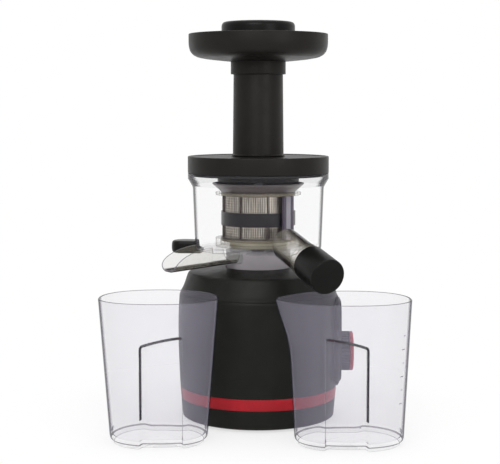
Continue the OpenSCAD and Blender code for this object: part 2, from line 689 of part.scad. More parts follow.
// cross-section of the chute: Y across, X up, bottom at grow below -chute_h
module chute_2d(grow) {
    r = chute_w * 0.3;
    w = chute_w / 2 - duct_wall;
    intersection() {
        offset(delta = grow) union() {
            translate([-chute_h + duct_wall + r, -w]) square([2 * chute_h, 2 * w]);
            translate([-chute_h + duct_wall, -w + r]) square([2 * chute_h, 2 * w - 2 * r]);
            for (s = [-1, 1]) translate([-chute_h + duct_wall + r, s * (w - r)]) circle(r, $fn = 48);
        }
        translate([-chute_h, -chute_w]) square([chute_h + 8, 2 * chute_w]);
    }
}
module chute_body(grow, from, to) {
    chute_path(from) rotate([0, 90, 0]) mirror([1, 0, 0]) linear_extrude(to - from) chute_2d(grow);
}
module juicing_bowl() color([0.93, 0.92, 0.97, 0.45]) {
    w = bowl_wall;
    difference() {
        union() {
            rotate_extrude() polygon(concat([[0, bowl_z]], bowl_out(), [
                [rim_r - w, rim_z], [rim_r - w, rim_z - 5.8], [bowl_r - w, rim_z - 14.5],
                [bowl_fr - w, bowl_z + floor_t + 3], [bowl_fr - w - 3, floor_z], [0, floor_z]]));
            ring(neck_d / 2, neck_d / 2 - w, neck_z, bowl_z + eps);
            // keys that keep the bowl from turning
            around(3, neck_d / 2 - 0.5, neck_z, 90) translate([0, -3, 0]) cube([2.2, 6, 12]);
            // wall round the pulp outlet, which carries the strainer
            intersection() {
                ring(pulp_r + pulp_w / 2 + 1.6, pulp_r - pulp_w / 2 - 1.4, floor_z - 1, str_z - 0.1);
                rotate([0, 0, chute_dir]) translate([0, -pulp_l / 2 - 1.5, 0]) cube([60, pulp_l + 3, 400]);
            }
        }
        intersection() {
            ring(pulp_r + pulp_w / 2, pulp_r - pulp_w / 2, bowl_z - 1, str_z + 1);
            rotate([0, 0, chute_dir]) translate([0, -pulp_l / 2, 0]) cube([60, pulp_l, 400]);
        }
        along_spout(spout_in + duct_wall) cylinder(h = spout_len, r = spout_r - duct_wall);
        disc(hub_hole_r, bowl_z - 1, floor_z + 1);
        // seat of the neck gasket
        disc(hub_hole_r + 3.4, bowl_z - 1, bowl_z + 1.6);
        at_polar(idler_dist, idler_ang, bowl_z + 0.8) cylinder(h = 10, r = 2.5, $fn = 32);
        at_polar(plug_r, plug_ang, bowl_z - 1) cylinder(h = 10, r = 6);
        // the chute passes the neck
        intersection() {
            chute_body(duct_wall, pulp_r, rim_r);
            disc(rim_r, neck_z - 1, bowl_z);
        }
    }
}
// rim of the chute seen from the side: distance from the axis and drop below the top
function chute_rim() = [for (a = [0 : 9 : 90])
    [chute_root + (chute_len - chute_root) * sin(a), -(chute_h - duct_wall) * (1 - cos(a))]];
module pulp_chute() color([0.93, 0.92, 0.97, 0.45]) difference() {
    chute_body(duct_wall, chute_in, chute_len);
    chute_body(0, chute_in + duct_wall, chute_len + 10);
    // everything above the sloping rim
    chute_path() rotate([90, 0, 0]) translate([0, 0, -chute_w]) linear_extrude(2 * chute_w)
        polygon(concat(chute_rim(), [[chute_len + 20, -chute_h], [chute_len + 20, 30], [chute_root, 30]]));
    rotate_extrude() polygon(concat([[0, bowl_z]], bowl_out(), [[0, rim_z]]));
    disc(chute_root, bowl_z, rim_z);
}
module juice_spout() color([0.93, 0.92, 0.97, 0.45]) difference() {
    union() {
        along_spout(spout_in) cylinder(h = spout_len - spout_in, r = spout_r);
        // stop ring behind the drip cap
        along_spout(drip_from - 6) cylinder(h = 2.4, r = spout_r + 0.9);
    }
    along_spout(spout_in + duct_wall) cylinder(h = spout_len, r = spout_r - duct_wall);
    bowl_outside();
    // outlet in the underside
    along_spout(drip_from + 1.5) rotate([0, 0, 180]) translate([-30, -6, 0]) mirror([1, 0, 0])
        translate([-24, 0, 0]) cube([24, 12, 8]);
}
module neck_gasket() color("#2b2b2d") ring(hub_hole_r + 3.4, drive_d / 2 + 0.3, bowl_z - 0.6, bowl_z + 1.6);
module pulp_plug() color("#3c3f45") at_polar(plug_r, plug_ang, bowl_z) {
    translate([0, 0, -1.5]) cylinder(h = 1.5, r = 8);
    cylinder(h = floor_t, r = 6);
}
module bowl_grip() color("#1b1c1b") difference() {
    // a rounded tab with a lightening pocket, curved to the bowl's wall
    rotate([0, 0, grip_ang]) translate([0, 0, bowl_z - grip_drop]) difference() {
        hull() {
            translate([bowl_fr - 4, -grip_w / 2, 0]) cube([2, grip_w, grip_h]);
            for (s = [-1, 1]) translate([bowl_fr + grip_len - 8, s * (grip_w / 2 - 7), 0]) cylinder(h = grip_h, r = 8, $fn = 32);
        }
        translate([bowl_fr + 5, 5 - grip_w / 2, 1.6]) cube([grip_len - 12, grip_w - 10, grip_h - 3.2]);
    }
    bowl_outside();
    chute_body(duct_wall + fit, chute_in, chute_len);
}
module idler_pinion() color("#e8e6de") rotate([0, 0, idler_ang]) translate([idler_dist, 0, 0]) {
    gear(idler_n, mod_b, gear_b_z, gear_b_h, 180 + 180 / idler_n, 2.5 + run);
}
module idler_pin() color("#c8ccd0") at_polar(idler_dist, idler_ang, bowl_z + 0.8) {
    cylinder(h = str_z - bowl_z - 1.1, r = 2.5, $fn = 32);
}

// ---------- strainer, brush and auger ----------
module strainer_frame() color("#3b3940") {
    r = str_r;
    w = strainer_wall;
    band = str_z + strainer_h * 0.32;
    difference() {
        union() {
            disc(r, str_z, str_z + str_t);
            ring(r, r - w, str_z, str_z + 4);
            ring(r, r - w, band, band + strainer_h * 0.28);
            ring(r, r - w, str_top - 4, str_top);
            rotate_extrude() polygon([[r - w, str_top - eps], [r, str_top - eps],
                [flange_r, str_top + flange_rise - 1], [flange_r, str_top + flange_rise],
                [flange_r - w, str_top + flange_rise]]);
            around(8, 0, str_z + 1, 15) translate([r - w + 0.1, -0.6, 0]) cube([w - 0.3, 1.2, strainer_h - 2]);
        }
        disc(auger_n * mod_b / 2 + 1.6, str_z - 1, str_z + 10);
        intersection() {
            ring(pulp_r + pulp_w / 2, pulp_r - pulp_w / 2, str_z - 1, str_z + 10);
            rotate([0, 0, chute_dir]) translate([0, -pulp_l / 2, 0]) cube([60, pulp_l, 400]);
        }
    }
}
module strainer_mesh() color("#c4c2bd") {
    ring(str_r - strainer_wall - 0.05, str_r - strainer_wall - 0.45, str_z + str_t, str_top);
}
module brush_frame() color("#6d6478") {
    ring(arm_out, ring_out_r, gear_b_z, gear_b_z + 2.4);
    ring(arm_out, arm_in, gear_b_z, str_z + 3);
    ring(arm_out, arm_in + 1.6, arm_top - arm_ring_h, arm_top);
    for (i = [0 : arm_count - 1]) rotate([0, 0, arm_ang + i * 360 / arm_count]) {
        for (s = [-1, 1]) intersection() {
            ring(arm_out, arm_in + 0.8, str_z + 2.9, arm_top - arm_ring_h + 0.1);
            translate([0, s * 5 - 1.6, 0]) cube([100, 3.2, 400]);
        }
    }
}
module brush_wipers() color("#cfc6d6") {
    for (i = [0 : arm_count - 1]) rotate([0, 0, arm_ang + i * 360 / arm_count]) intersection() {
        ring(arm_out - 1, str_r + 0.3, str_z + 3, arm_top - arm_ring_h);
        translate([0, -3.4, 0]) cube([100, 6.8, 400]);
    }
}
module brush_ring_gear() color("#e8e6de") difference() {
    disc(ring_out_r, gear_b_z, gear_b_z + gear_b_h);
    translate([0, 0, gear_b_z - 1]) linear_extrude(gear_b_h + 2) rotate(idler_ang + 180 / ring_n)
        gear2d(ring_n, mod_b, backlash, 1.2, 0.9);
}
// centre line and flanks of one turn of the auger's flight, as rings of four points
function flight_ring(a, z, r0, r1, t0, t1) = [
    [r0 * cos(a), r0 * sin(a), z - t0 / 2], [r1 * cos(a), r1 * sin(a), z - t1 / 2],
    [r1 * cos(a), r1 * sin(a), z + t1 / 2], [r0 * cos(a), r0 * sin(a), z + t0 / 2]];
module flight(from, turns, z0, z1, r0, r1, steps = 54) {
    n = steps;
    pts = [for (i = [0 : n]) let (t = i / n, ends = min(1, 8 * t, 8 * (1 - t)))
        each flight_ring(from + 360 * turns * t, z0 + (z1 - z0) * t, r0, r0 + 2 + (r1 - r0 - 2) * ends, 5, 2.4)];
    faces = concat([[3, 2, 1, 0]], [[for (k = [0 : 3]) 4 * n + k]],
        [for (i = [0 : n - 1], k = [0 : 3]) let (a = 4 * i + k, b = 4 * i + (k + 1) % 4) each
            [[a, b, a + 4], [b, b + 4, a + 4]]]);
    polyhedron(pts, faces);
}
module auger() color("#d9d6cc") difference() {
    union() {
        translate([0, 0, auger_z]) cylinder(h = auger_top - auger_z, r1 = auger_core_d / 2, r2 = 11);
        disc(auger_r - 0.6, auger_z, auger_z + 2.4);
        intersection() {
            union() for (k = [0, 1]) flight(k * 180, 1.1, auger_z + 6, auger_top - 7, 9, auger_r + 2);
            disc(auger_r, auger_z, auger_top - 2);
        }
    }
    translate([0, 0, auger_z - 1]) hexagon(hex_af + 2 * fit, drive_top + 2 - auger_z);
    disc(pin_d / 2, auger_top - 18, auger_top + 1);
}
module auger_gear() color("#b9bcbf") difference() {
    union() {
        gear(auger_n, mod_b, gear_b_z, gear_b_h, idler_ang, 1);
        disc(auger_n * mod_b / 2 - 1.6, gear_b_z + gear_b_h - eps, auger_z);
    }
    translate([0, 0, gear_b_z - 1]) hexagon(hex_af + 2 * fit, auger_z);
}
module auger_pin() color("#c8ccd0") {
    disc(pin_d / 2, auger_top - 18, pin_top - 1);
    translate([0, 0, pin_top - 1]) cylinder(h = 1, r1 = pin_d / 2, r2 = pin_d / 2 - 1);
}

// ---------- lid ----------
module lid() color("#2a2926") difference() {
    w = lid_wall;
    union() {
        rotate_extrude() polygon([[0, lid_top - w], [rim_r - w - 3, lid_top - w], [rim_r - w - 3, lid_z - skirt_h],
            [rim_r - w - 0.8, lid_z - skirt_h], [rim_r - w - 0.8, lid_z], [rim_r, lid_z],
            [rim_r, lid_top - 1.5], [rim_r - 0.5, lid_top - 0.5], [rim_r - 1.5, lid_top], [0, lid_top]]);
        ring(boss_r, boss_r - 2.4, boss_z, lid_top - w + eps);
        // bridge that carries the auger's bush
        translate([-4, -boss_r + 1, boss_z + 0.8]) cube([8, boss_r, lid_top - w - boss_z - 0.5]);
        disc(bush_r + 2, boss_z, push_z - 3);
    }
    translate([0, tube_off, push_z - 2]) cylinder(h = tube_len + lid_h, r = tube_bore / 2);
    difference() {
        translate([0, tube_off, boss_z - 1]) cylinder(h = push_z - boss_z, r = tube_bore / 2);
        disc(bush_r + 2, boss_z - 2, push_z - 3);
        translate([-4, -boss_r, boss_z]) cube([8, boss_r, push_z - 3 - boss_z]);
    }
    disc(bush_r, boss_z - 1, pin_top + 1);
    // groove of the gasket
    ring(rim_r, rim_r - w - 1.6, lid_z - 1 - gasket_h - 0.1, lid_z - 1 + 0.1);
}
module feed_tube() color("#2a2926") translate([0, tube_off, 0]) difference() {
    union() {
        translate([0, 0, lid_top]) cylinder(h = tube_len, r1 = tube_r + 0.9, r2 = tube_r);
        disc(tube_r + 2.2, lid_top, lid_top + 1.2);
    }
    disc(tube_bore / 2, lid_top - 1, tube_top + 1);
}
module lid_bush() color("#efeee8") difference() {
    disc(bush_r, boss_z, pin_top + 0.9);
    disc(pin_d / 2 + run, boss_z - 1, pin_top + 0.1);
}
module lid_gasket() color("#8f8d94") ring(rim_r - bowl_wall - 0.2, rim_r - lid_wall - 1.6, lid_z - 1 - gasket_h, lid_z - 1);

// ---------- feed tray and pusher ----------
module feed_tray() color("#282724") translate([0, tube_off, 0]) difference() {
    w = tray_wall;
    z = tray_z;
    rotate_extrude() polygon([
        [tube_bore / 2, tube_top + fit], [tube_r + fit, tube_top + fit], [tube_r + fit, z], [tray_r * 0.45, z + 0.3], [tray_r * 0.72, z + 2.3], [tray_r * 0.865, z + 4.2],
        [tray_r * 0.923, z + 6.3], [tray_r * 0.955, z + 8.4], [tray_r * 0.98, z + 11],
        [tray_r * 0.995, z + 15], [tray_r, z + 19], [tray_r, tray_top - 1], [tray_r - 0.6, tray_top],
        [tray_r - w + 0.4, tray_top], [tray_r - w, tray_top - 1], [tray_r - w, z + 19],
        [tray_r * 0.99 - w, z + 14], [tray_r * 0.965 - w, z + 10.2], [tray_r * 0.92 - w, z + 7.8],
        [tray_r * 0.84 - w, z + 5.6], [cap_r + 2, tray_in_z], [tube_bore / 2, tray_in_z]]);
}
module tray_collar() color("#282724") translate([0, tube_off, 0]) ring(collar_r, tube_r + fit, collar_z, tray_z);
module pusher_cap() color("#30302d") translate([0, tube_off, 0]) difference() {
    rotate_extrude() polygon([
        [push_r - 2, cap_z], [cap_r - 0.8, cap_z], [cap_r, cap_z + 0.8], [cap_r, cap_top - 4.5],
        [cap_r - 0.5, cap_top - 2.6], [cap_r - 1.7, cap_top - 1], [cap_r - 3.6, cap_top - 0.2],
        [cap_r - 6, cap_top], [0, cap_top], [0, cap_top - 2.5], [cap_r - 5, cap_top - 2.5],
        [cap_r - 2.5, cap_top - 5], [cap_r - 2.5, cap_z + 2.5], [push_r - 2, cap_z + 2.5]]);
}
module pusher_plunger() color("#2b2b28") translate([0, tube_off, 0]) difference() {
    union() {
        disc(push_r, push_z + 1, cap_z);
        translate([0, 0, push_z]) cylinder(h = 1, r1 = push_r - 1, r2 = push_r);
        disc(push_r - 2, cap_z - eps, cap_z + 12);
    }
    disc(push_r - 4, push_z + 3, cap_z + 13);
}

// ---------- drip cap ----------
module drip_cap() color("#1f1e1c") difference() {
    along_spout() union() {
        translate([0, 0, drip_from]) cylinder(h = drip_len - 1.2, r = drip_r);
        translate([0, 0, drip_from + drip_len - 1.2]) cylinder(h = 1.2, r1 = drip_r, r2 = drip_r - 1.2);
        // lip of the outlet
        translate([drip_r - 4, -7, drip_from]) cube([6, 14, 11]);
    }
    along_spout(drip_from - 1) cylinder(h = spout_len - drip_from + 1 + seal_t + 0.5, r = spout_r + fit);
    along_spout(drip_from - 1) translate([0, -5, 0]) cube([30, 10, 10.5]);
    // hollow in front of the spout's end; its step carries the seal
    along_spout(spout_len) cylinder(h = drip_from + drip_len - spout_len - drip_wall, r = spout_r - 1);
}
module drip_cap_seal() color("#4b4d50") along_spout(spout_len + 0.4) {
    ring(spout_r, spout_r - 3.4, 0, seal_t);
}

// ---------- jugs ----------
function spow(v, p) = sign(v) * pow(abs(v), p);
function smooth(t) = let (u = min(1, max(0, t))) u * u * (3 - 2 * u);
// outline of a jug at height z, pulled in by off; lip is the reach of the pouring lip and
// side is 1 where the machine is on the jug's left and -1 where it is on its right
function jug_ring(z, off, lip, side) = let (t = z / jug_h, taper = side > 0 ? juice_jug_taper : jug_taper,
        hx = (jug_len + (side > 0 ? juice_jug_more : 0)) / 2 * (taper + (1 - taper) * t) - off,
        hf = jug_dep * 0.45 * (0.9 + 0.1 * t) - off,
        hb = jug_dep * 0.55 * (0.9 + 0.1 * t) - off)
    [for (i = [0 : jug_sides - 1]) let (a = 360 * i / jug_sides, c = cos(a), s = sin(a),
            x = hx * spow(c, 0.9), y = (s > 0 ? hb : hf) * spow(s, 0.9),
            u = (x + side * recess_off) / (recess_w / 2),
            edge = recess_z - side * recess_rise / 2 * min(1, max(-1, u)),
            dent = recess * exp(-pow(u, 8)) * (1 - smooth((z - edge + 4) / 5)) * abs(s),
            pour = c * side < 0 ? lip * exp(-pow(y / 24, 2)) * pow(smooth((t - 0.45) / 0.62), 2) : 0)
        [x - side * pour, y - sign(s) * dent, z]];
module jug(lip, side) {
    n = jug_sides;
    // heights and insets of the rings, close together round the recesses' upper edge
    edge_rings = [for (k = [-3 : 3]) [recess_z + 3.2 * k, 0]];
    outer = concat([[0, 3.5], [3.4, 3], [3.8, 1.2], [5, 0.2], [7, 0], [45, 0]], edge_rings,
        [for (t = [0.88, 0.94, 1]) [jug_h * t, 0]]);
    inner = [for (k = [len(outer) - 1 : -1 : 5]) [outer[k][0], jug_wall]];
    rings = concat(outer, inner, [[jug_floor + 5, jug_wall + 0.6], [jug_floor + 3.8, jug_wall + 3.4]]);
    m = len(rings);
    pts = concat([for (q = rings) each jug_ring(q[0], q[1], lip, side)], [[0, 0, 0], [0, 0, jug_floor + 3.8]]);
    faces = concat(
        [for (i = [0 : n - 1]) [m * n, i, (i + 1) % n]],
        [for (k = [0 : m - 2], i = [0 : n - 1]) let (a = k * n + i, b = k * n + (i + 1) % n) each
            [[a, a + n, b], [b, a + n, b + n]]],
        [for (i = [0 : n - 1]) [m * n + 1, (m - 1) * n + (i + 1) % n, (m - 1) * n + i]]);
    polyhedron(pts, faces);
}
module pulp_jug() color([0.93, 0.92, 0.97, 0.45]) translate(pulp_jug_at) jug(0, -1);
module juice_jug() color([0.93, 0.92, 0.97, 0.45]) translate(juice_jug_at) jug(lip_reach, 1);

body_shell();
shoulder_cover();
red_band();
base_plate();
rubber_feet();
base_screws();
control_panel();
panel_screws();
knob_grip();
knob_face();
switch_spindle();
rotary_switch();
cord_inlet();
motor_can();
motor_rotor();
motor_fan();
motor_pinion();
motor_screws();
gearbox_case();
gearbox_cover();
gearbox_screws();
compound_gear();
compound_axle();
output_gear();
drive_shaft();
lower_bearing();
upper_bearing();
shaft_seal();
control_board();
vibration_dampers();
juicing_bowl();
pulp_chute();
juice_spout();
neck_gasket();
pulp_plug();
bowl_grip();
idler_pinion();
idler_pin();
strainer_frame();
strainer_mesh();
brush_frame();
brush_wipers();
brush_ring_gear();
auger();
auger_gear();
auger_pin();
lid();
feed_tube();
lid_bush();
lid_gasket();
feed_tray();
tray_collar();
pusher_cap();
pusher_plunger();
drip_cap();
drip_cap_seal();
pulp_jug();
juice_jug();
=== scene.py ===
"""Looks of a vertical cold press juicer. Metres, +Z up, -Y towards the front, +X towards the knob.
Shapes are worked out in millimetres and turned to metres where they become meshes."""

import math

import bmesh
import bpy
import numpy as np
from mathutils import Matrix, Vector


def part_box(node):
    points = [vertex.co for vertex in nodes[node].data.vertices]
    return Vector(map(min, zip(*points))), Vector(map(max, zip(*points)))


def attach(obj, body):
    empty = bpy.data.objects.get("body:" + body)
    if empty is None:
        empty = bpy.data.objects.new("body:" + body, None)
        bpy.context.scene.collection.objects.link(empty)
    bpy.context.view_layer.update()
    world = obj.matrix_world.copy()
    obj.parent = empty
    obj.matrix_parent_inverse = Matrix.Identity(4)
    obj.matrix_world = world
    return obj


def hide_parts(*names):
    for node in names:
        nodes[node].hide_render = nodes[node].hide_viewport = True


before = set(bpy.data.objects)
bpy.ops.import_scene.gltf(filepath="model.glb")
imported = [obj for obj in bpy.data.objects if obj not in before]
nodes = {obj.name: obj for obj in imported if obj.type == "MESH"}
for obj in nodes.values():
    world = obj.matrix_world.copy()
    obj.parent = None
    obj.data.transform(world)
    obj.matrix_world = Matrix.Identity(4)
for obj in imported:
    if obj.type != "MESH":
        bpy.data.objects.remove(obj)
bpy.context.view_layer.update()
scene = bpy.context.scene
scene.view_settings.view_transform = "Standard"
MM = 0.001
TAU = 2 * math.pi
SHARP = 32  # degrees between two faces, over which their edge is drawn sharp

# ---------- camera ----------
lens = bpy.data.cameras.new("camera")
lens.sensor_width = 36
lens.lens = 96.62
lens.shift_y = -0.1
lens.clip_end = 20
camera = bpy.data.objects.new("camera", lens)
scene.collection.objects.link(camera)
camera.location = (-0.00865, -1.3995, 0.32585)
camera.rotation_euler = (math.radians(90 - 3.25), 0, 0)
scene.camera = camera


# ---------- meshes ----------
def new_object(name, mesh):
    """An object at the origin that shows the mesh."""
    ob = bpy.data.objects.new(name, mesh)
    scene.collection.objects.link(ob)
    return ob


def tidy(ob, angle=SHARP):
    """Merges doubled points, turns the faces outwards and marks edges sharper than the angle."""
    bm = bmesh.new()
    bm.from_mesh(ob.data)
    bmesh.ops.remove_doubles(bm, verts=bm.verts, dist=2e-6)
    bmesh.ops.dissolve_degenerate(bm, dist=1e-7, edges=bm.edges)
    bmesh.ops.recalc_face_normals(bm, faces=bm.faces)
    bm.to_mesh(ob.data)
    bm.free()
    ob.data.polygons.foreach_set("use_smooth", np.ones(len(ob.data.polygons), bool))
    ob.data.set_sharp_from_angle(angle=math.radians(angle))
    return ob


def surface(name, grid, close_u=True, close_v=True, angle=SHARP):
    """Quads between neighbours of a grid of points [u, v, xyz] in millimetres; a closed direction joins its
    end to its start."""
    points = np.asarray(grid, float) * MM
    nu, nv = points.shape[:2]
    starts = np.arange(nu if close_u else nu - 1), np.arange(nv if close_v else nv - 1)
    u, v = np.meshgrid(*starts, indexing="ij")
    u2, v2 = (u + 1) % nu, (v + 1) % nv
    quads = np.stack([u * nv + v, u2 * nv + v, u2 * nv + v2, u * nv + v2], -1).reshape(-1, 4)
    mesh = bpy.data.meshes.new(name)
    mesh.from_pydata(points.reshape(-1, 3).tolist(), [], quads.tolist())
    return tidy(new_object(name, mesh), angle)


def rounded(points, setback=0.6, steps=4):
    """Closed outline whose corners are parabola arcs: each runs from setback before the corner to setback
    after it, at most 45 hundredths of the shorter side."""
    p = np.array(points, float)
    a, b = np.roll(p, 1, 0) - p, np.roll(p, -1, 0) - p
    la, lb = np.linalg.norm(a, axis=1), np.linalg.norm(b, axis=1)
    t = np.minimum(np.broadcast_to(setback, la.shape), 0.45 * np.minimum(la, lb))
    start, end = p + a * (t / la)[:, None], p + b * (t / lb)[:, None]
    s = np.linspace(0, 1, steps + 1)[:, None, None]
    arcs = (1 - s) ** 2 * start + 2 * s * (1 - s) * p + s * s * end
    return arcs.transpose(1, 0, 2).reshape(-1, p.shape[1])


def turned(outline, count=192, centre=(0, 0)):
    """Grid of a closed outline of (radius, height) carried round a vertical axis."""
    o = np.asarray(outline, float)
    a = np.linspace(0, TAU, count, endpoint=False)[:, None]
    return np.stack([centre[0] + o[:, 0] * np.cos(a), centre[1] + o[:, 0] * np.sin(a), o[:, 1] + 0 * a], -1)


def placed(grid, x_axis, y_axis, z_axis, origin):
    """The grid's own x, y and z carried along three directions from an origin."""
    return np.asarray(grid, float) @ np.array([x_axis, y_axis, z_axis], float) + np.array(origin, float)


def joined(name, parts):
    """One object of several, whose meshes are put together as they are."""
    bm = bmesh.new()
    for part in parts:
        bm.from_mesh(part.data)
        bpy.data.objects.remove(part)
    mesh = bpy.data.meshes.new(name)
    bm.to_mesh(mesh)
    bm.free()
    mesh.polygons.foreach_set("use_smooth", np.ones(len(mesh.polygons), bool))
    mesh.set_sharp_from_angle(angle=math.radians(SHARP))
    return new_object(name, mesh)


def carved(ob, cutter, operation="DIFFERENCE"):
    """The object less, or with, the cutter, which is used up."""
    cut = ob.modifiers.new("cut", "BOOLEAN")
    cut.operation, cut.object, cut.solver = operation, cutter, "EXACT"
    mesh = bpy.data.meshes.new_from_object(ob.evaluated_get(bpy.context.evaluated_depsgraph_get()))
    ob.modifiers.clear()
    ob.data = mesh
    bpy.data.objects.remove(cutter)
    return tidy(ob)


def bar(name, low, high, axes=None, setback=0.4):
    """Box between two corners with rounded long edges: a rounded outline carried along z and drawn in at both
    ends."""
    (x0, y0, z0), (x1, y1, z1) = low, high
    o = rounded([(x0, y0), (x1, y0), (x1, y1), (x0, y1)], setback)
    c = np.array([(x0 + x1) / 2, (y0 + y1) / 2])
    half = min(x1 - x0, y1 - y0) / 2
    draw = np.array([half, setback, setback * 0.3, 0, 0, setback * 0.3, setback, half])
    z = np.array([z0, z0, z0 + setback * 0.3, z0 + setback, z1 - setback, z1 - setback * 0.3, z1, z1])
    shrink = 1 - draw / half
    shrink[[0, -1]] = 0
    rings = c + (o - c) * shrink[:, None, None]
    grid = np.concatenate([rings, np.broadcast_to(z[:, None, None], (len(z), len(o), 1))], -1)
    if axes:
        grid = placed(grid, *axes)
    return surface(name, grid, close_u=False)


# ---------- materials ----------
def srgb(text):
    """Linear colour of an sRGB hex value."""
    c = np.array([int(text[i:i + 2], 16) for i in (1, 3, 5)]) / 255
    c = np.where(c <= 0.04045, c / 12.92, ((c + 0.055) / 1.055) ** 2.4)
    return (*c.tolist(), 1.0)


def add(tree, kind, inputs=None, **settings):
    """A node of that kind with its settings. Its inputs are values, sockets, or nodes that stand for their
    first output."""
    n = tree.nodes.new("ShaderNode" + kind)
    for key, value in settings.items():
        setattr(n, key, value)
    for key, value in (inputs or {}).items():
        if isinstance(value, bpy.types.Node):
            value = value.outputs[0]
        if isinstance(value, bpy.types.NodeSocket):
            tree.links.new(value, n.inputs[key])
        else:
            n.inputs[key].default_value = value
    return n


def blank(name):
    """A material whose tree is empty, and the tree."""
    m = bpy.data.materials.new(name)
    m.use_nodes = True
    m.node_tree.nodes.clear()
    return m, m.node_tree


def blotches(tree, size_mm, detail=3.0, stretch=(1, 1, 1)):
    """Noise over Object coordinates whose lumps are about size_mm across, drawn out by stretch."""
    at = add(tree, "TexCoord").outputs["Object"]
    if tuple(stretch) != (1, 1, 1):
        at = add(tree, "Mapping", {"Vector": at, "Scale": stretch})
    return add(tree, "TexNoise", {"Vector": at, "Scale": 1000 / size_mm, "Detail": detail})


def tinted(tree, pattern, first, second, start=0.3, end=0.7):
    """A colour that goes from the first to the second while the pattern's value goes from start to end."""
    share = add(tree, "MapRange", {"Value": pattern, "From Min": start, "From Max": end})
    return add(tree, "Mix", {0: share, 6: first, 7: second}, data_type="RGBA").outputs[2]


def seen_by_eye(tree):
    """1 for a ray that shows a thing to the viewer: straight, through a clear wall or in a reflection. 0 for
    light."""
    path = add(tree, "LightPath").outputs
    seen = add(tree, "Math", {0: path["Is Camera Ray"], 1: path["Is Transmission Ray"]}, operation="MAXIMUM")
    return add(tree, "Math", {0: seen, 1: path["Is Glossy Ray"]}, operation="MAXIMUM")


def moulded(name, dark, light, roughness, grain_mm=0.5, bump=0.05, sheen=0.5):
    """Moulded plastic: its colour drifts a little over 18 mm and its gloss over 11 mm, and a spark-eroded
    mould leaves a grain of grain_mm."""
    m, t = blank(name)
    colour = tinted(t, blotches(t, 18), srgb(dark), srgb(light))
    rough = add(t, "MapRange", {"Value": blotches(t, 10.8), "From Min": 0.3, "From Max": 0.7,
                                "To Min": roughness - 0.04, "To Max": roughness + 0.05})
    relief = add(t, "Bump", {"Height": blotches(t, grain_mm, 2), "Strength": bump, "Distance": 0.0002})
    body = add(t, "BsdfPrincipled", {"Base Color": colour, "Roughness": rough, "Normal": relief,
                                     "Specular IOR Level": sheen})
    add(t, "OutputMaterial", {"Surface": body})
    return m


def metal(name, dark, light, roughness, stretch=(1, 1, 1), line_mm=0.4, bump=0.1):
    """Bare metal with the fine lines of its last cut: noise of line_mm drawn out along the lines."""
    m, t = blank(name)
    lines = blotches(t, line_mm, 2, stretch)
    colour = tinted(t, lines, srgb(dark), srgb(light))
    rough = add(t, "MapRange", {"Value": lines, "From Min": 0.3, "From Max": 0.7,
                                "To Min": roughness - 0.06, "To Max": roughness + 0.08})
    relief = add(t, "Bump", {"Height": lines, "Strength": bump, "Distance": 0.0001})
    body = add(t, "BsdfPrincipled", {"Base Color": colour, "Metallic": 1.0, "Roughness": rough,
                                     "Normal": relief})
    add(t, "OutputMaterial", {"Surface": body})
    return m


def clear(name, face, edge, thin, thick, start, end):
    """Clear copolyester seen as a thin wall: head on it lets most light through with a faint milky veil, and
    towards a glancing view its longer path inside darkens it to the edge colour. Its gloss is that of both
    faces of a thin wall, kept low by an index near that of air."""
    m, t = blank(name)
    facing = add(t, "LayerWeight", {"Blend": 0.5}).outputs["Facing"]
    turn = add(t, "MapRange", {"Value": facing, "From Min": start, "From Max": end},
               interpolation_type="SMOOTHSTEP")
    veil = add(t, "MapRange", {"Value": blotches(t, 30), "From Min": 0.3, "From Max": 0.7,
                               "To Min": thin * 0.92, "To Max": thin * 1.08})
    alpha = add(t, "MapRange", {"Value": turn, "To Min": veil, "To Max": thick})
    colour = add(t, "Mix", {0: turn, 6: srgb(face), 7: srgb(edge)}, data_type="RGBA").outputs[2]
    wall = add(t, "BsdfPrincipled", {"Base Color": colour, "Alpha": alpha, "Roughness": 0.08, "IOR": 1.14})
    add(t, "OutputMaterial", {"Surface": wall})
    return m


# ABS moulded with a fine satin grain, warm greenish black: soft wide highlights
base_black = moulded("black_abs_satin", "#121310", "#171814", 0.42, 0.5, 0.012, sheen=0.14)
# the same ABS in the upper parts, a little warmer and smoother
lid_black = moulded("black_abs_warm", "#161412", "#1a1815", 0.4, 0.45, 0.04, sheen=0.14)
# polished ABS of the knob, drip cap and grip
gloss_black = moulded("black_abs_smooth", "#0c0c0b", "#10100e", 0.33, 0.6, 0.02, sheen=0.12)
# coloured ABS of the band and the knob's face
red_abs = moulded("red_abs", "#900c19", "#a3111f", 0.36, 0.5, 0.03, sheen=0.25)
# clear copolyester mouldings: faint lavender, grey violet edges
clear_jug = clear("clear_copolyester", "#b5b0c3", "#2b2931", 0.09, 0.97, 0.66, 0.82)
clear_jug_inside = clear("clear_copolyester_jug_inside", "#b8b4c3", "#8a8792", 0.09, 0.35, 0.75, 1.0)
clear_bowl = clear("clear_copolyester_bowl", "#77747d", "#2f2b32", 0.016, 0.95, 0.66, 0.84)
# the bowl's rim and shoulder are thicker, and its inside shows no outline of its own
clear_rim = clear("clear_copolyester_rim", "#6c6a70", "#2b282d", 0.06, 0.95, 0.58, 0.8)
clear_inside = clear("clear_copolyester_inside", "#77747d", "#77747d", 0.016, 0.22, 0.7, 1.0)
# the neck is thick and has a matt inside, so it is cloudy
clear_neck = clear("clear_copolyester_neck", "#bab5ba", "#4b4750", 0.6, 0.9, 0.78, 0.92)
# chute and spout are thicker than the bowl's wall
clear_duct = clear("clear_copolyester_duct", "#aaa598", "#2a2625", 0.12, 0.96, 0.42, 0.72)
# rims and ends, where the light comes out along the wall's length
clear_edge = clear("clear_copolyester_edge", "#6a6670", "#3a363c", 0.7, 0.95, 0.5, 0.8)
# the ledge and outer side of a jug's recess: light from in front, outlined where they turn away
clear_ledge = clear("clear_copolyester_ledge", "#8f8c96", "#2b2931", 0.2, 0.97, 0.35, 0.7)
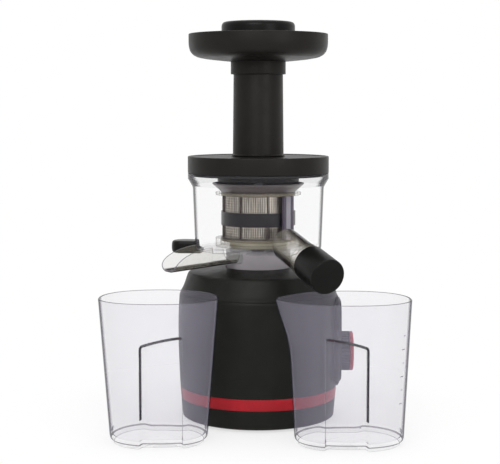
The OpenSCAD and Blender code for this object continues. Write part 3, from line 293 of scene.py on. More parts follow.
# floors and feet are seen through their thin side, and stay light at any angle
clear_floor = clear("clear_copolyester_floor", "#d3d0dc", "#8d8994", 0.06, 0.35, 0.7, 0.98)
# tough violet grey moulding of the brush
violet = moulded("violet_grey_abs", "#494250", "#554d5c", 0.35, 0.6, 0.04, sheen=0.35)
# silicone rubber: matt, slightly milky
silicone = moulded("silicone_grey", "#8c8892", "#9a96a0", 0.55, 0.4, 0.05)
# black synthetic rubber with a dull skin
rubber = moulded("rubber_black", "#1b1b1b", "#232323", 0.7, 0.35, 0.15)
# natural nylon of the gears: waxy, off white
nylon = moulded("nylon_natural", "#ddd8ca", "#e8e4d8", 0.42, 0.6, 0.05)
# dark glass-filled resin of the auger
resin = moulded("auger_resin", "#37322d", "#433d37", 0.34, 0.8, 0.06)
# turned and ground steel of shafts, bearings and the motor can
steel = metal("turned_steel", "#8f9296", "#b9bcc0", 0.3, (1, 1, 14))
# zinc plated screws
zinc = metal("zinc_plate", "#8c8f93", "#b5b6b4", 0.38, (1, 1, 1), 0.8, 0.05)
# die cast aluminium of the gearbox, with the mould's dull skin
cast = metal("die_cast_aluminium", "#85888b", "#a3a6a9", 0.5, (1, 1, 1), 1.2, 0.25)
# sintered bronze of the bush
bronze = metal("sintered_bronze", "#8a6536", "#b48a52", 0.45, (1, 1, 1), 0.5, 0.2)


def windings():
    """Enamelled copper wire on a stack of iron sheets: bands of 0.9 mm up the rotor between the two
    metals."""
    m, t = blank("copper_windings")
    at = add(t, "TexCoord").outputs["Object"]
    band = add(t, "TexWave", {"Vector": at, "Scale": 180.0, "Distortion": 0.6, "Detail": 1.0},
               bands_direction="Z").outputs[1]
    colour = tinted(t, band, srgb("#7b4a26"), srgb("#b87a48"), 0.2, 0.8)
    relief = add(t, "Bump", {"Height": band, "Strength": 0.4, "Distance": 0.0003})
    body = add(t, "BsdfPrincipled", {"Base Color": colour, "Metallic": 0.85, "Roughness": 0.36,
                                     "Normal": relief})
    add(t, "OutputMaterial", {"Surface": body})
    return m


def circuit():
    """Green solder mask over glass cloth, with paler copper tracks 2 mm apart showing through it."""
    m, t = blank("circuit_board")
    at = add(t, "TexCoord").outputs["Object"]
    flat = add(t, "Mapping", {"Vector": at, "Rotation": (0, math.pi / 2, 0)})
    tracks = add(t, "TexBrick", {"Vector": flat, "Scale": 110.0, "Mortar Size": 0.06,
                                 "Color1": srgb("#1c4a2b"), "Color2": srgb("#1f5230"),
                                 "Mortar": srgb("#3f7f4e")})
    body = add(t, "BsdfPrincipled", {"Base Color": tracks, "Roughness": 0.35})
    add(t, "OutputMaterial", {"Surface": body})
    return m


def perforated():
    """Perforated stainless sheet: 96 upright rows of slots 2.4 mm apart round the axis, one slot each 2.6 mm,
    in a bright sheet with fine rolling lines. Where it is open it is painted near black: painted shade that
    stands for the shaded inside seen through the slots."""
    m, t = blank("perforated_steel")
    at = add(t, "SeparateXYZ", {0: add(t, "TexCoord").outputs["Object"]}).outputs
    turn = add(t, "Math", {0: at[1], 1: at[0]}, operation="ARCTAN2")
    rows = add(t, "Math", {0: turn, 1: 96 / TAU}, operation="MULTIPLY")
    steps = add(t, "Math", {0: at[2], 1: 1 / 0.0026}, operation="MULTIPLY")
    row, step = (add(t, "Math", {0: v}, operation="FRACT") for v in (rows, steps))
    across = add(t, "MapRange", {"Value": row, "From Min": 0.5, "From Max": 0.62})
    along = add(t, "MapRange", {"Value": step, "From Min": 0.25, "From Max": 0.35})
    hole = add(t, "Math", {0: across, 1: along}, operation="MULTIPLY")
    sheet = tinted(t, blotches(t, 0.8, 2, (1, 1, 0.08)), srgb("#77716a"), srgb("#c3bbb0"))
    # painted shade: the open slots are coloured near black for the shaded inside seen through them
    colour = add(t, "Mix", {0: hole, 6: sheet, 7: srgb("#0f0d0e")}, data_type="RGBA").outputs[2]
    bright = add(t, "Math", {0: 1.0, 1: hole}, operation="SUBTRACT")
    body = add(t, "BsdfPrincipled", {"Base Color": colour, "Metallic": bright, "Roughness": 0.34})
    add(t, "OutputMaterial", {"Surface": body})
    return m


def smoked():
    """Smoke coloured polyetherimide of the strainer: grey brown where it is thin, and painted nearly black in
    the solid band, from 201 to 217 mm: painted shade that stands for the shaded auger core close behind it."""
    m, t = blank("smoke_polyetherimide")
    z = add(t, "SeparateXYZ", {0: add(t, "TexCoord").outputs["Object"]}).outputs[2]
    above = add(t, "MapRange", {"Value": z, "From Min": 0.2005, "From Max": 0.2025})
    below = add(t, "MapRange", {"Value": z, "From Min": 0.2155, "From Max": 0.2175,
                                "To Min": 1.0, "To Max": 0.0})
    band = add(t, "Math", {0: above, 1: below}, operation="MULTIPLY")
    colour = tinted(t, blotches(t, 9), srgb("#453e3d"), srgb("#544c4b"))
    colour = tinted(t, z, colour, srgb("#625b5b"), 0.237, 0.2385)
    # painted shade: the solid band is coloured nearly black for the shaded core behind it
    colour = add(t, "Mix", {0: band, 6: colour, 7: srgb("#141117")}, data_type="RGBA").outputs[2]
    body = add(t, "BsdfPrincipled", {"Base Color": colour, "Roughness": 0.28, "Specular IOR Level": 0.35})
    add(t, "OutputMaterial", {"Surface": body})
    return m


copper, board, mesh_steel, smoke = windings(), circuit(), perforated(), smoked()


def finish_piece(ob, material, body, slot, *replaced):
    """Gives a new piece its material and its body, and hides the nodes that it stands for. The slot is not
    used.
    """
    ob.data.materials.clear()
    ob.data.materials.append(material)
    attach(ob, body)
    if replaced:
        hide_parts(*replaced)


def faces_where(ob, material, test):
    """Gives a second material to the faces whose middle and normal, in millimetres and as columns, pass the
    test."""
    ob.data.materials.append(material)
    count = len(ob.data.polygons)
    middle, normal, index = np.zeros(count * 3), np.zeros(count * 3), np.zeros(count, np.int32)
    ob.data.polygons.foreach_get("center", middle)
    ob.data.polygons.foreach_get("normal", normal)
    ob.data.polygons.foreach_get("material_index", index)
    index[test(*(middle.reshape(-1, 3) / MM).T, *normal.reshape(-1, 3).T)] = len(ob.data.materials) - 1
    ob.data.polygons.foreach_set("material_index", index)


# ---------- motor base ----------
WIDEST_Z, WIDEST_R, BASE_FOOT, BASE_TOP, BASE_WALL = 95.0, 83.7, 2.5, 131.0, 2.6
BAND_LOW, BAND_HIGH, BAND_GROOVE = 22, 34, 1.35


def barrel(z):
    """Radius of the barrel: it widens from 79 mm at its foot by a parabola, then narrows by a shallower
    one."""
    z = np.asarray(z, float)
    below = 79 + 4.7 * (1 - ((WIDEST_Z - z) / 92.5) ** 2)
    above = WIDEST_R - 1.4 * ((z - WIDEST_Z) / 36) ** 2
    return np.where(z < WIDEST_Z, below, above)


def along_barrel(z0, z1, off=0.0, count=12):
    """Outline points that follow the barrel between two heights."""
    z = np.linspace(z0, z1, count)
    return np.stack([barrel(z) + off, z], -1)


outer = np.concatenate([[(77.4, BASE_FOOT)], along_barrel(3.6, BAND_LOW, 0, 8),
                        along_barrel(BAND_LOW, BAND_HIGH, -BAND_GROOVE, 4),
                        along_barrel(BAND_HIGH, 129.4, 0, 40), [(81.9, 130.6), (81.2, BASE_TOP)]])
inner = along_barrel(130.9, BASE_FOOT, -BASE_WALL, 30)
casing = surface("casing", turned(np.concatenate([outer, inner]), 256))
# the cord inlet's hole at the rear
INLET_R, INLET_Z = 8, 30
hole = turned(rounded([(0, -30), (INLET_R, -30), (INLET_R, 30), (0, 30)], 0), 48)
casing = carved(casing, surface("hole", placed(hole, (1, 0, 0), (0, 0, -1), (0, 1, 0), (0, 90, INLET_Z))))
finish_piece(casing, base_black, "base", "base_black", "body_shell")

# the band stands 0.18 mm proud of the barrel, and its edges are drawn in by the eighth power of the height
across = np.linspace(-1, 1, 9)
band_z = (BAND_LOW + BAND_HIGH) / 2 + 5.9 * across
band_out = np.stack([barrel(band_z) + 0.18 - 0.5 * across ** 8, band_z], -1)
band = surface("band", turned(np.concatenate([band_out, [(80.2, 33.9), (79.5, 22.1)]]), 256))
finish_piece(band, red_abs, "base", "red", "red_band")

shoulder_line = rounded([(79.7, BASE_TOP), (81.7, BASE_TOP), (81.5, 132.2), (79.9, 134.8), (77.6, 139.6),
                         (74.4, 149.2), (73.1, 152.2), (70.6, 153.2), (35.4, 158), (34.1, 157.3), (34.1, 149),
                         (30.7, 149), (30.7, 156), (11, 156), (11, 167.6), (10.4, 168), (7.6, 168),
                         (7.6, 144), (15, 144), (15, 153.4), (28, 153.4), (28, 146.4), (36.7, 146.4),
                         (36.7, 154.6), (70.3, 150.2), (75.3, 138), (77.7, 133)],
                        [0.2, 0.3, 0.6, 2, 4, 1.4, 1.1, 1.4, 1.2, 0.6, 0.3, 0.3, 1, 1.5, 0.5, 0.4, 0.2, 0.2,
                         1, 1, 1, 0.5, 0.5, 1, 2, 2, 1], 6)
shoulder = surface("shoulder", turned(shoulder_line, 256))
finish_piece(shoulder, base_black, "base", "base_black", "shoulder_cover")


PANEL_HALF, PANEL_CORNER, PANEL_Z = np.array([26.0, 42.0]), 15.6, 81.8


def panel_outline(grow, count=160):
    """Rounded rectangle round the middle of the panel, with sides and corners moved out by grow."""
    a = np.linspace(0, TAU, count, endpoint=False)
    half = PANEL_HALF + grow
    r = PANEL_CORNER + grow
    d = np.stack([np.cos(a), np.sin(a)], -1)
    # distance along the direction to the rounded rectangle, found by halving
    low, high = np.zeros(count), np.full(count, 80.0)
    for _ in range(30):
        mid = (low + high) / 2
        q = np.abs(d * mid[:, None]) - (half - r)
        outside = np.linalg.norm(np.maximum(q, 0), axis=1) + np.minimum(q.max(1), 0) > r
        low, high = np.where(outside, low, mid), np.where(outside, mid, high)
    return d * low[:, None]


def panel_grid():
    """Levels of the panel from its hidden back to the middle of its face: each is an outline, moved out by
    grow, and its distance from the axis. Distance 0 stands for the barrel itself, and a visible level stays
    above the barrel. The first and last levels are drawn together to a point."""
    levels = []
    for grow, x in ((None, 70.0), (5.2, 70.0), (5.2, 0), (5.2, 82.2), (4.9, 82.7), (0.5, 84.9), (0.1, 85.5),
                    (-0.2, 85.85), (-0.8, 86.0), (-12, 86.0), (None, 86.0)):
        o = panel_outline(grow or 0)
        y, z = o[:, 0], o[:, 1] + PANEL_Z
        on_barrel = np.sqrt(barrel(z) ** 2 - y ** 2)
        if x == 0:
            depth = on_barrel - 0.8
        elif x > 80:
            depth = np.maximum(x, on_barrel + 0.1)
        else:
            depth = np.full_like(y, x)
        levels.append(np.stack([depth, y, z], -1))
    for k in (0, -1):
        levels[k][:, 1:] = (0, PANEL_Z)
    return np.array(levels)


panel = surface("panel", panel_grid(), close_u=False)
finish_piece(panel, base_black, "base", "base_black", "control_panel")

KNOB_Z = 68.8
KNOB_AXES = ((0, -1, 0), (0, 0, 1), (1, 0, 0), (0, 0, KNOB_Z))


def ribbed(outline, count, ribs, depth, upto):
    """Turned surface whose radius swings in by depth between the ribs, where the outline's radius is over
    upto."""
    grid = turned(outline, count)
    a = np.linspace(0, TAU, count, endpoint=False)[:, None]
    gap = np.clip(0.5 - 0.9 * np.cos(a * ribs), 0, 1)
    r = np.asarray(outline)[:, 0]
    pull = np.where(r > upto, 1 - depth * gap / np.maximum(r, 1), 1)
    grid[..., :2] *= pull[..., None]
    return grid


grip_line = rounded([(4.05, 86.4), (6.4, 86.4), (6.4, 92), (17.4, 92), (17.4, 86.4), (20.45, 86.4),
                     (20.45, 95.5), (3.2, 95.5), (3.2, 93.4), (4.05, 93.4)],
                    [0.1, 0.3, 0.5, 0.5, 0.3, 0.5, 0.15, 0, 0, 0])
knob_ring = surface("knob_ring", placed(ribbed(grip_line, 432, 36, 0.75, 18), *KNOB_AXES), angle=40)
finish_piece(knob_ring, gloss_black, "knob", "gloss_black", "knob_grip")
face_line = rounded([(0, 95.7), (20.4, 95.7), (20.4, 98.5), (19.7, 99.15), (0, 98.85)], [0, 0.2, 0.4, 0.3, 0])
knob_disc = surface("knob_disc", placed(turned(face_line, 128), *KNOB_AXES))
pointer = bar("pointer", (5.5, -1.1, 98.3), (18, 1.1, 101),
              ((0, 0, 1), (0, 1, 0), (1, 0, 0), (0, 0, KNOB_Z)), 0.5)
knob_disc = carved(knob_disc, pointer)
finish_piece(knob_disc, red_abs, "knob", "red", "knob_face")

# ---------- bowl ----------
RIM_R, BOWL_FOOT, BOWL_FLOOR, BOWL_RIM = 73.5, 176, 179, 256
NECK_BORE, NECK_R, NECK_FOOT = 31.2, 33.6, 149.6
bowl_outer = [(63, BOWL_FOOT), (65.1, 176.9), (66, BOWL_FLOOR), (68.4, 241.5), (73, 249.4), (RIM_R, 250.2),
              (RIM_R, BOWL_RIM)]
bowl_inner = [(71.1, BOWL_RIM), (71.1, 250.2), (66, 241.5), (63.6, 182), (60.6, BOWL_FLOOR),
              (9.2, BOWL_FLOOR)]
bowl_under = [(9.2, 177.6), (12.6, 177.6), (12.6, BOWL_FOOT), (NECK_BORE, BOWL_FOOT), (NECK_BORE, NECK_FOOT),
              (NECK_R, NECK_FOOT), (NECK_R, BOWL_FOOT)]
bowl_line = rounded(bowl_outer + bowl_inner + bowl_under, [0.6, 0.8, 1, 2, 1.2, 0.5, 0.6, 0.6, 0.8, 2, 2, 1.5,
                                                           0.4, 0.2, 0.2, 0.4, 0.6, 0.5, 0.5, 0.8])
SPOUT_AZ, SPOUT_FALL = math.radians(26), math.radians(15.4)
spout_dir = (math.sin(SPOUT_AZ) * math.cos(SPOUT_FALL), -math.cos(SPOUT_AZ) * math.cos(SPOUT_FALL),
             -math.sin(SPOUT_FALL))
spout_side = (math.cos(SPOUT_AZ), math.sin(SPOUT_AZ), 0)
spout_down = tuple(np.cross(spout_side, spout_dir))
SPOUT_AXES = (spout_down, spout_side, spout_dir, (0, 0, 204.5))
CHUTE_AZ, CHUTE_FALL = math.radians(210), math.radians(4.2)
chute_dir = (math.cos(CHUTE_AZ) * math.cos(CHUTE_FALL), math.sin(CHUTE_AZ) * math.cos(CHUTE_FALL),
             -math.sin(CHUTE_FALL))
chute_side = (-math.sin(CHUTE_AZ), math.cos(CHUTE_AZ), 0)
chute_up = tuple(np.cross(chute_dir, chute_side))
CHUTE_AXES = (chute_dir, chute_side, chute_up, (0, 0, 187))

bowl_wall = surface("bowl_wall", turned(bowl_line, 256))
bore = turned([(0, 48), (13.95, 48), (13.95, 120), (0, 120)], 64)
bowl_wall = carved(bowl_wall, surface("bore", placed(bore, *SPOUT_AXES)))
bowl_wall = carved(bowl_wall, bar("outlet", (16, -17.9, -20.9), (60, 17.9, -8.5), CHUTE_AXES, 3))
finish_piece(bowl_wall, clear_bowl, "bowl", "clear", "juicing_bowl")
faces_where(bowl_wall, clear_rim, lambda x, y, z, nx, ny, nz: z > 243)
faces_where(bowl_wall, clear_inside,
            lambda x, y, z, nx, ny, nz: (z > 180) & (z < 243) & (nx * x + ny * y < 0))
faces_where(bowl_wall, clear_neck, lambda x, y, z, nx, ny, nz: (z < 175.9) & (np.hypot(x, y) < 35))
faces_where(bowl_wall, clear_floor,
            lambda x, y, z, nx, ny, nz: (z < 183) & (np.abs(nz) > 0.7) & (np.hypot(x, y) < 64.5))


def chute_grid(count=25):
    """Trough of constant wall. Across it runs a U of flat bottom, two quarter circles and upright sides, cut
    off at the rim; along it the rim follows a quarter of an ellipse from the bowl's wall down to the tip.
    Each station's loop is the outer U and back along the inner one."""
    lift = np.radians(np.linspace(0, 90, 22))
    s = np.concatenate([[33, 48, 63.9, 64], 64 + (107 - 64) * np.sin(lift[1:])])
    rim = np.concatenate([s[:3] * math.tan(CHUTE_FALL) - 11, [0], -19 * (1 - np.cos(lift[1:]))])
    rim = np.maximum(rim, -18.2)

    def half(depth, width, r):
        """Points from the bottom's middle to the rim, evenly spaced along the U."""
        flat = width - r
        arc = np.where(rim > r - depth, math.pi / 2, np.arccos(np.clip((r - depth - rim) / r, -1, 1)))
        tall = np.maximum(rim - (r - depth), 0)
        length = flat + arc * r + tall
        run = np.linspace(0, 1, count) * length[:, None]
        on_arc = np.clip((run - flat) / r, 0, arc[:, None])
        y = np.minimum(run, flat) + r * np.sin(on_arc)
        z = r - depth - r * np.cos(on_arc) + np.maximum(run - flat - arc[:, None] * r, 0)
        return y, z

    (yo, zo), (yi, zi) = half(21, 18, 12.8), half(19, 16, 10.8)
    y = np.concatenate([-yo[:, ::-1], yo[:, 1:], yi[:, ::-1], -yi[:, 1:]], 1)
    z = np.concatenate([zo[:, ::-1], zo[:, 1:], zi[:, ::-1], zi[:, 1:]], 1)
    body = np.stack([np.broadcast_to(s[:, None], y.shape), y, z], -1)
    ends = [np.broadcast_to((body[k, :] + body[k, ::-1]) / 2, body[k].shape)[None] for k in (0, -1)]
    return placed(np.concatenate([ends[0], body, ends[1]]), *CHUTE_AXES)


def chute_rim(x, y, z, nx, ny, nz):
    """Faces between the outer and the inner U, which look up or along the chute's way out."""
    away = nx * chute_dir[0] + ny * chute_dir[1] + nz * chute_dir[2]
    reach = (x * chute_dir[0] + y * chute_dir[1]) / math.cos(CHUTE_FALL)
    along = np.abs(nx * chute_side[0] + ny * chute_side[1])
    return (away > 0.18) & (along < 0.5) & (reach > 66)


chute_trough = surface("chute_trough", chute_grid(), close_u=False, angle=50)
finish_piece(chute_trough, clear_duct, "bowl", "clear", "pulp_chute")
faces_where(chute_trough, clear_edge, chute_rim)

# what the bowl's outer wall encloses, which the spout and the grip end at
wall_core = turned([(0, 150)] + bowl_outer[1:-3] + [(69, 250), (0, 250)], 128)
spout_line = rounded([(14, 60), (16, 60), (16, 108), (16.9, 108.6), (16.9, 110.8), (16, 111.4), (16, 113.9),
                      (16.9, 114), (16.9, 116.4), (16, 116.5), (16, 130), (14, 130)], 0.4)
spout_tube = surface("spout_tube", placed(turned(spout_line, 96), *SPOUT_AXES))
spout_tube = carved(spout_tube, surface("wall_core", wall_core))
finish_piece(spout_tube, clear_duct, "bowl", "clear", "juice_spout")

cap_line = rounded([(16.35, 118), (17.8, 118), (17.8, 155), (0, 155), (0, 152.5), (15, 152.5), (15, 133),
                    (16.35, 133)], [0.3, 0.4, 1.8, 0, 0, 1, 0.3, 0.3])
cap_shell = surface("cap_shell", placed(turned(cap_line, 128), *SPOUT_AXES))
notch = bar("notch", (12, -5, 116), (21, 5, 127.5), SPOUT_AXES, 0.8)
lip_turn = np.linspace(-0.44, 0.44, 25)[:, None]
lip_line = rounded([(17.2, 118.2), (19.3, 118.2), (19.7, 119), (19.2, 129), (17.2, 130)], 0.5)
lip_r, lip_z = lip_line.T
lip = np.stack([lip_r * np.cos(lip_turn), lip_r * np.sin(lip_turn), lip_z + 0 * lip_turn], -1)
lip_ends = [np.broadcast_to(lip[k].mean(0), lip[:1].shape) for k in (0, -1)]
lip = np.concatenate([lip_ends[0], lip, lip_ends[1]])
cap_shell = carved(cap_shell, surface("lip", placed(lip, *SPOUT_AXES), close_u=False), "UNION")
cap_shell = carved(cap_shell, notch)
finish_piece(cap_shell, gloss_black, "cap", "gloss_black", "drip_cap")


def grip_grid(low, high, reach, width):
    """Tab seen from above as a straight root and a round end; its edge is a half superellipse from bottom to
    top."""
    a = np.linspace(-math.pi / 2, math.pi / 2, 49)
    root = 60.0
    end_x = reach - width / 2 * 0.8 + width / 2 * 0.8 * np.cos(a)
    end = np.stack([end_x, width / 2 * np.sin(a)], -1)
    line = np.concatenate([[(root, -width / 2)], end, [(root, width / 2)]])
    e = np.linspace(-math.pi / 2, math.pi / 2, 25)
    inset = (1 - np.abs(np.cos(e)) ** 0.45) * 5
    height = (low + high) / 2 + (high - low) / 2 * np.sign(np.sin(e)) * np.abs(np.sin(e)) ** 0.75
    c = np.array([root, 0.0])
    span = np.linalg.norm(line - c, axis=1, keepdims=True)
    ring = c + (line - c) * np.maximum(1 - inset[:, None, None] / np.maximum(span, 1), 0)
    grid = np.concatenate([ring, np.broadcast_to(height[:, None, None], ring.shape[:2] + (1,))], -1)
    middle = grid[[0, -1]].copy()
    middle[..., :2] = (root + 8, 0)
    return np.concatenate([middle[:1], grid, middle[1:]])


GRIP_AZ = math.radians(172)
GRIP_AXES = ((math.cos(GRIP_AZ), math.sin(GRIP_AZ), 0), (-math.sin(GRIP_AZ), math.cos(GRIP_AZ), 0),
             (0, 0, 1), (0, 0, 0))
low, high = (corner.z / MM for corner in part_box("bowl_grip")[:2])
grip_tab = surface("grip_tab", placed(grip_grid(low, high, 91.9, 25.6), *GRIP_AXES), close_u=False, angle=40)
grip_tab = carved(grip_tab, surface("wall_core", wall_core))
finish_piece(grip_tab, gloss_black, "bowl", "gloss_black", "bowl_grip")

# ---------- strainer ----------
mesh_line = rounded([(36.15, 187.9), (36.55, 187.9), (36.55, 236.7), (36.15, 236.7)], 0.1)
basket_mesh = surface("basket_mesh", turned(mesh_line, 192))
finish_piece(basket_mesh, mesh_steel, "bowl", "mesh_steel", "strainer_mesh")

# clear moulding of the brush's rings, a little yellow, and its grey violet arms
clear_ring = clear("clear_copolyester_ring", "#cfc6a8", "#5c5546", 0.12, 0.55, 0.7, 0.9)
low_line = rounded([(30, 179.5), (44.6, 179.5), (44.6, 188.7), (39.6, 188.7), (39.6, 181.9), (30, 181.9)],
                   [0, 0.6, 0.5, 0.5, 0.5, 0])
low_ring = surface("low_ring", turned(low_line, 192))
high_line = rounded([(41.2, 233.3), (44.6, 233.3), (44.6, 236.3), (41.2, 236.3)], 0.5)
high_ring = surface("high_ring", turned(high_line, 192))
arms = []
for side in (-45, 135):
    c, n = math.cos(math.radians(side)), math.sin(math.radians(side))
    arm_axes = ((c, n, 0), (-n, c, 0), (0, 0, 1), (0, 0, 0))
    arms += [bar("arm", (40.4, off - 1.6, 188.6), (44.0, off + 1.6, 233.4), arm_axes, 0.5) for off in (-5, 5)]
arms = joined("arms", arms)
brush_shell = joined("brush_shell", [low_ring, high_ring])
finish_piece(brush_shell, clear_ring, "brush", "violet_grey", "brush_frame")
finish_piece(arms, violet, "brush", "violet_grey")

# ---------- lid ----------
# the feed tube's axis is behind the machine's
REAR = (0, 12)
TUBE_BORE, LID_UNDER, LID_DECK, LID_RIM, LID_FOOT = 23.3, 271.1, 272.9, 273.6, 247.2
lid_line = rounded([(0, LID_UNDER), (39.9, LID_UNDER), (39.9, LID_FOOT), (42.5, LID_FOOT), (42.5, LID_UNDER),
                    (68, LID_UNDER), (68, 253.1), (70.2, 253.1), (70.2, 253.8), (69.4, 253.8), (69.4, 255.4),
                    (70.2, 255.4), (70.2, 256.3), (RIM_R, 256.3), (RIM_R, LID_RIM), (69.6, LID_RIM),
                    (69, LID_DECK), (0, LID_DECK)],
                   [0, 0.5, 0.5, 0.5, 0.5, 0.6, 0.4, 0.2, 0.1, 0.1, 0.1, 0.1, 0.3, 0.4, 1.2, 0.4, 0.6, 0])
lid_shell = surface("lid_shell", turned(lid_line, 256))
throat = turned([(0, 240), (TUBE_BORE, 240), (TUBE_BORE, 300), (0, 300)], 96, centre=REAR)
lid_shell = carved(lid_shell, surface("throat", throat))
tube_line = rounded([(TUBE_BORE, LID_RIM), (28.0, LID_RIM), (28.0, 274.8), (26.7, 275.2), (25.8, 370.1),
                     (TUBE_BORE, 370.1)], [0.3, 0.3, 0.5, 0.6, 0.6, 0.5])
feed_tube = surface("feed_tube", turned(tube_line, 192, centre=REAR))
bridge = bar("bridge", (-4, -41.4, 248), (4, -8, 271.2), None, 0.6)
seat_line = rounded([(7, LID_FOOT), (9, LID_FOOT), (9, 265.3), (0, 265.3), (0, 258), (7, 258)],
                    [0.3, 0.4, 0.8, 0, 0, 0.3])
bush_seat = surface("bush_seat", turned(seat_line, 96))
lid_shell = joined("lid_shell", [lid_shell, bridge, bush_seat])
finish_piece(lid_shell, lid_black, "lid", "lid_black", "lid")
finish_piece(feed_tube, lid_black, "lid", "lid_black", "feed_tube")

# ---------- tray and pusher ----------
TRAY_SEAT, COLLAR_BORE, COLLAR_R, COLLAR_TOP, TRAY_FLOOR, TRAY_RIM = 370.4, 26.1, 28.8, 372.1, 377, 400.9
tray_under = [(TUBE_BORE, TRAY_SEAT), (COLLAR_BORE, TRAY_SEAT), (COLLAR_BORE, COLLAR_TOP),
              (COLLAR_R, COLLAR_TOP), (32.9, 372.4), (52.6, 374.4), (63.1, 376.3), (67.4, 378.4),
              (69.7, 380.5), (71.5, 383.1), (72.6, 387.1), (73, 391.1), (73, TRAY_RIM)]
tray_inside = [(70.6, TRAY_RIM), (70.5, 391.1), (69.8, 386.1), (67.9, 382.3), (64.7, 379.9), (58.8, 377.7),
               (40.5, TRAY_FLOOR), (TUBE_BORE, TRAY_FLOOR)]
tray_line = rounded(tray_under + tray_inside, [0.3, 0.3, 0.3, 0.3, 2, 5, 3, 1.5, 1.5, 1.5, 2, 2, 0.9,
                                               0.9, 2, 2, 1.5, 1.5, 3, 4, 0.6], 5)
tray_dish = surface("tray_dish", turned(tray_line, 256, centre=REAR))
finish_piece(tray_dish, lid_black, "tray", "lid_black", "feed_tray")
collar_line = rounded([(COLLAR_BORE, 358.8), (COLLAR_R, 358.8), (COLLAR_R, COLLAR_TOP),
                       (COLLAR_BORE, COLLAR_TOP)], [0.3, 0.6, 0.1, 0.1])
collar = surface("collar", turned(collar_line, 192, centre=REAR))
finish_piece(collar, lid_black, "tray", "lid_black", "tray_collar")

CAP_FOOT, CAP_TOP = 377.1, 413.6
dome_line = rounded([(20.65, CAP_FOOT), (37.7, CAP_FOOT), (38.5, 378), (38.5, 409.1), (38, 411),
                     (36.8, 412.6), (34.9, 413.4), (32.5, CAP_TOP), (0, CAP_TOP), (0, 411.1), (33.5, 411.1),
                     (36, 408.6), (36, 379.6), (20.65, 379.6)],
                    [0.2, 0.4, 0.4, 1.2, 0.9, 0.8, 0.8, 1.2, 0, 0, 1, 1, 0.5, 0.2])
pusher_dome = surface("pusher_dome", turned(dome_line, 192, centre=REAR))
finish_piece(pusher_dome, gloss_black, "pusher", "gloss_black", "pusher_cap")
stem_line = rounded([(0, 268.3), (21.8, 268.3), (22.55, 269.2), (22.55, 377.05), (20.6, 377.05), (20.6, 389),
                     (18.6, 389), (18.6, 271.3), (0, 271.3)],
                    [0, 0.3, 0.4, 0.4, 0.1, 0.4, 0.4, 0.5, 0])
pusher_stem = surface("pusher_stem", turned(stem_line, 160, centre=REAR))
finish_piece(pusher_stem, gloss_black, "pusher", "gloss_black", "pusher_plunger")

# ---------- jugs ----------
# half length at the rim and the foot's share of it: the jug under the chute, the wider one under the spout
JUG_SHAPE = {-1: (58.5, 0.81), 1: (60.3, 0.875)}
LEFT_AT, RIGHT_AT, LIP = (-97.5, -105), (87.2, -114), 12
JUG_TOP, BLUNT = 140, 0.9
# the finger recesses: place of the middle towards the machine, half width, height of the upper edge and depth
RECESS_AT, RECESS_HALF, RECESS_EDGE, RECESS_DEPTH = 4.7, 20, 104, 9


def power(v, p):
    """The value's size raised to p, with its sign kept."""
    return np.sign(v) * np.abs(v) ** p


def smooth(v):
    """Rises from 0 to 1 without a corner."""
    v = np.clip(v, 0, 1)
    return v * v * (3 - 2 * v)


def around_jug(side, count=252, close=26):
    """Turns at which a jug's outline has its points: evenly spaced ones, and closer ones where the steep
    sides of the two finger recesses stand, on an outline about 52 mm long on each side of its middle."""
    sides = (-side * RECESS_AT - RECESS_HALF, -side * RECESS_AT + RECESS_HALF)
    near = [math.acos(power(v / 52, 1 / BLUNT)) for v in sides]
    near = [np.linspace(v - 0.14, v + 0.14, close) for v in near]
    even = np.linspace(0, TAU, count, endpoint=False)
    return np.sort(np.concatenate([even] + near + [TAU - v for v in near]))


def jug_rings(z, off, side, lip, a=None):
    """Outlines of a jug at heights z, drawn in by off. Each is a blunt ellipse, 45 parts deep in front and 55
    behind, that widens with height. Front and back have a finger recess, a steep-sided hollow whose upper
    edge rises towards the machine in a shallow arch, and one end is drawn out into a pouring lip."""
    z, off = np.asarray(z, float)[:, None], np.asarray(off, float)[:, None]
    a = around_jug(side) if a is None else a
    c, s, t = np.cos(a), np.sin(a), z / JUG_TOP
    half, taper = JUG_SHAPE[side]
    hx = half * (taper + (1 - taper) * t) - off
    hy = np.where(s > 0, 57.2, 46.8) * (0.9 + 0.1 * t) - off
    x, y = hx * power(c, BLUNT), hy * power(s, BLUNT)
    u = (x + side * RECESS_AT) / RECESS_HALF
    edge = RECESS_EDGE - side * 4.2 * np.clip(u, -1, 1) + 1.5 * (1 - u * u).clip(0)
    dent = RECESS_DEPTH * np.exp(-np.abs(u) ** np.where(s < 0, 26, 8))
    dent = dent * (1 - smooth((z - edge + 4) / 5)) * np.abs(s)
    pour = np.where(c * side < 0, lip * np.exp(-(y / 24) ** 2) * smooth((t - 0.45) / 0.62) ** 2, 0)
    return np.stack([x - side * pour, y - np.sign(s) * dent, z + 0 * x], -1)


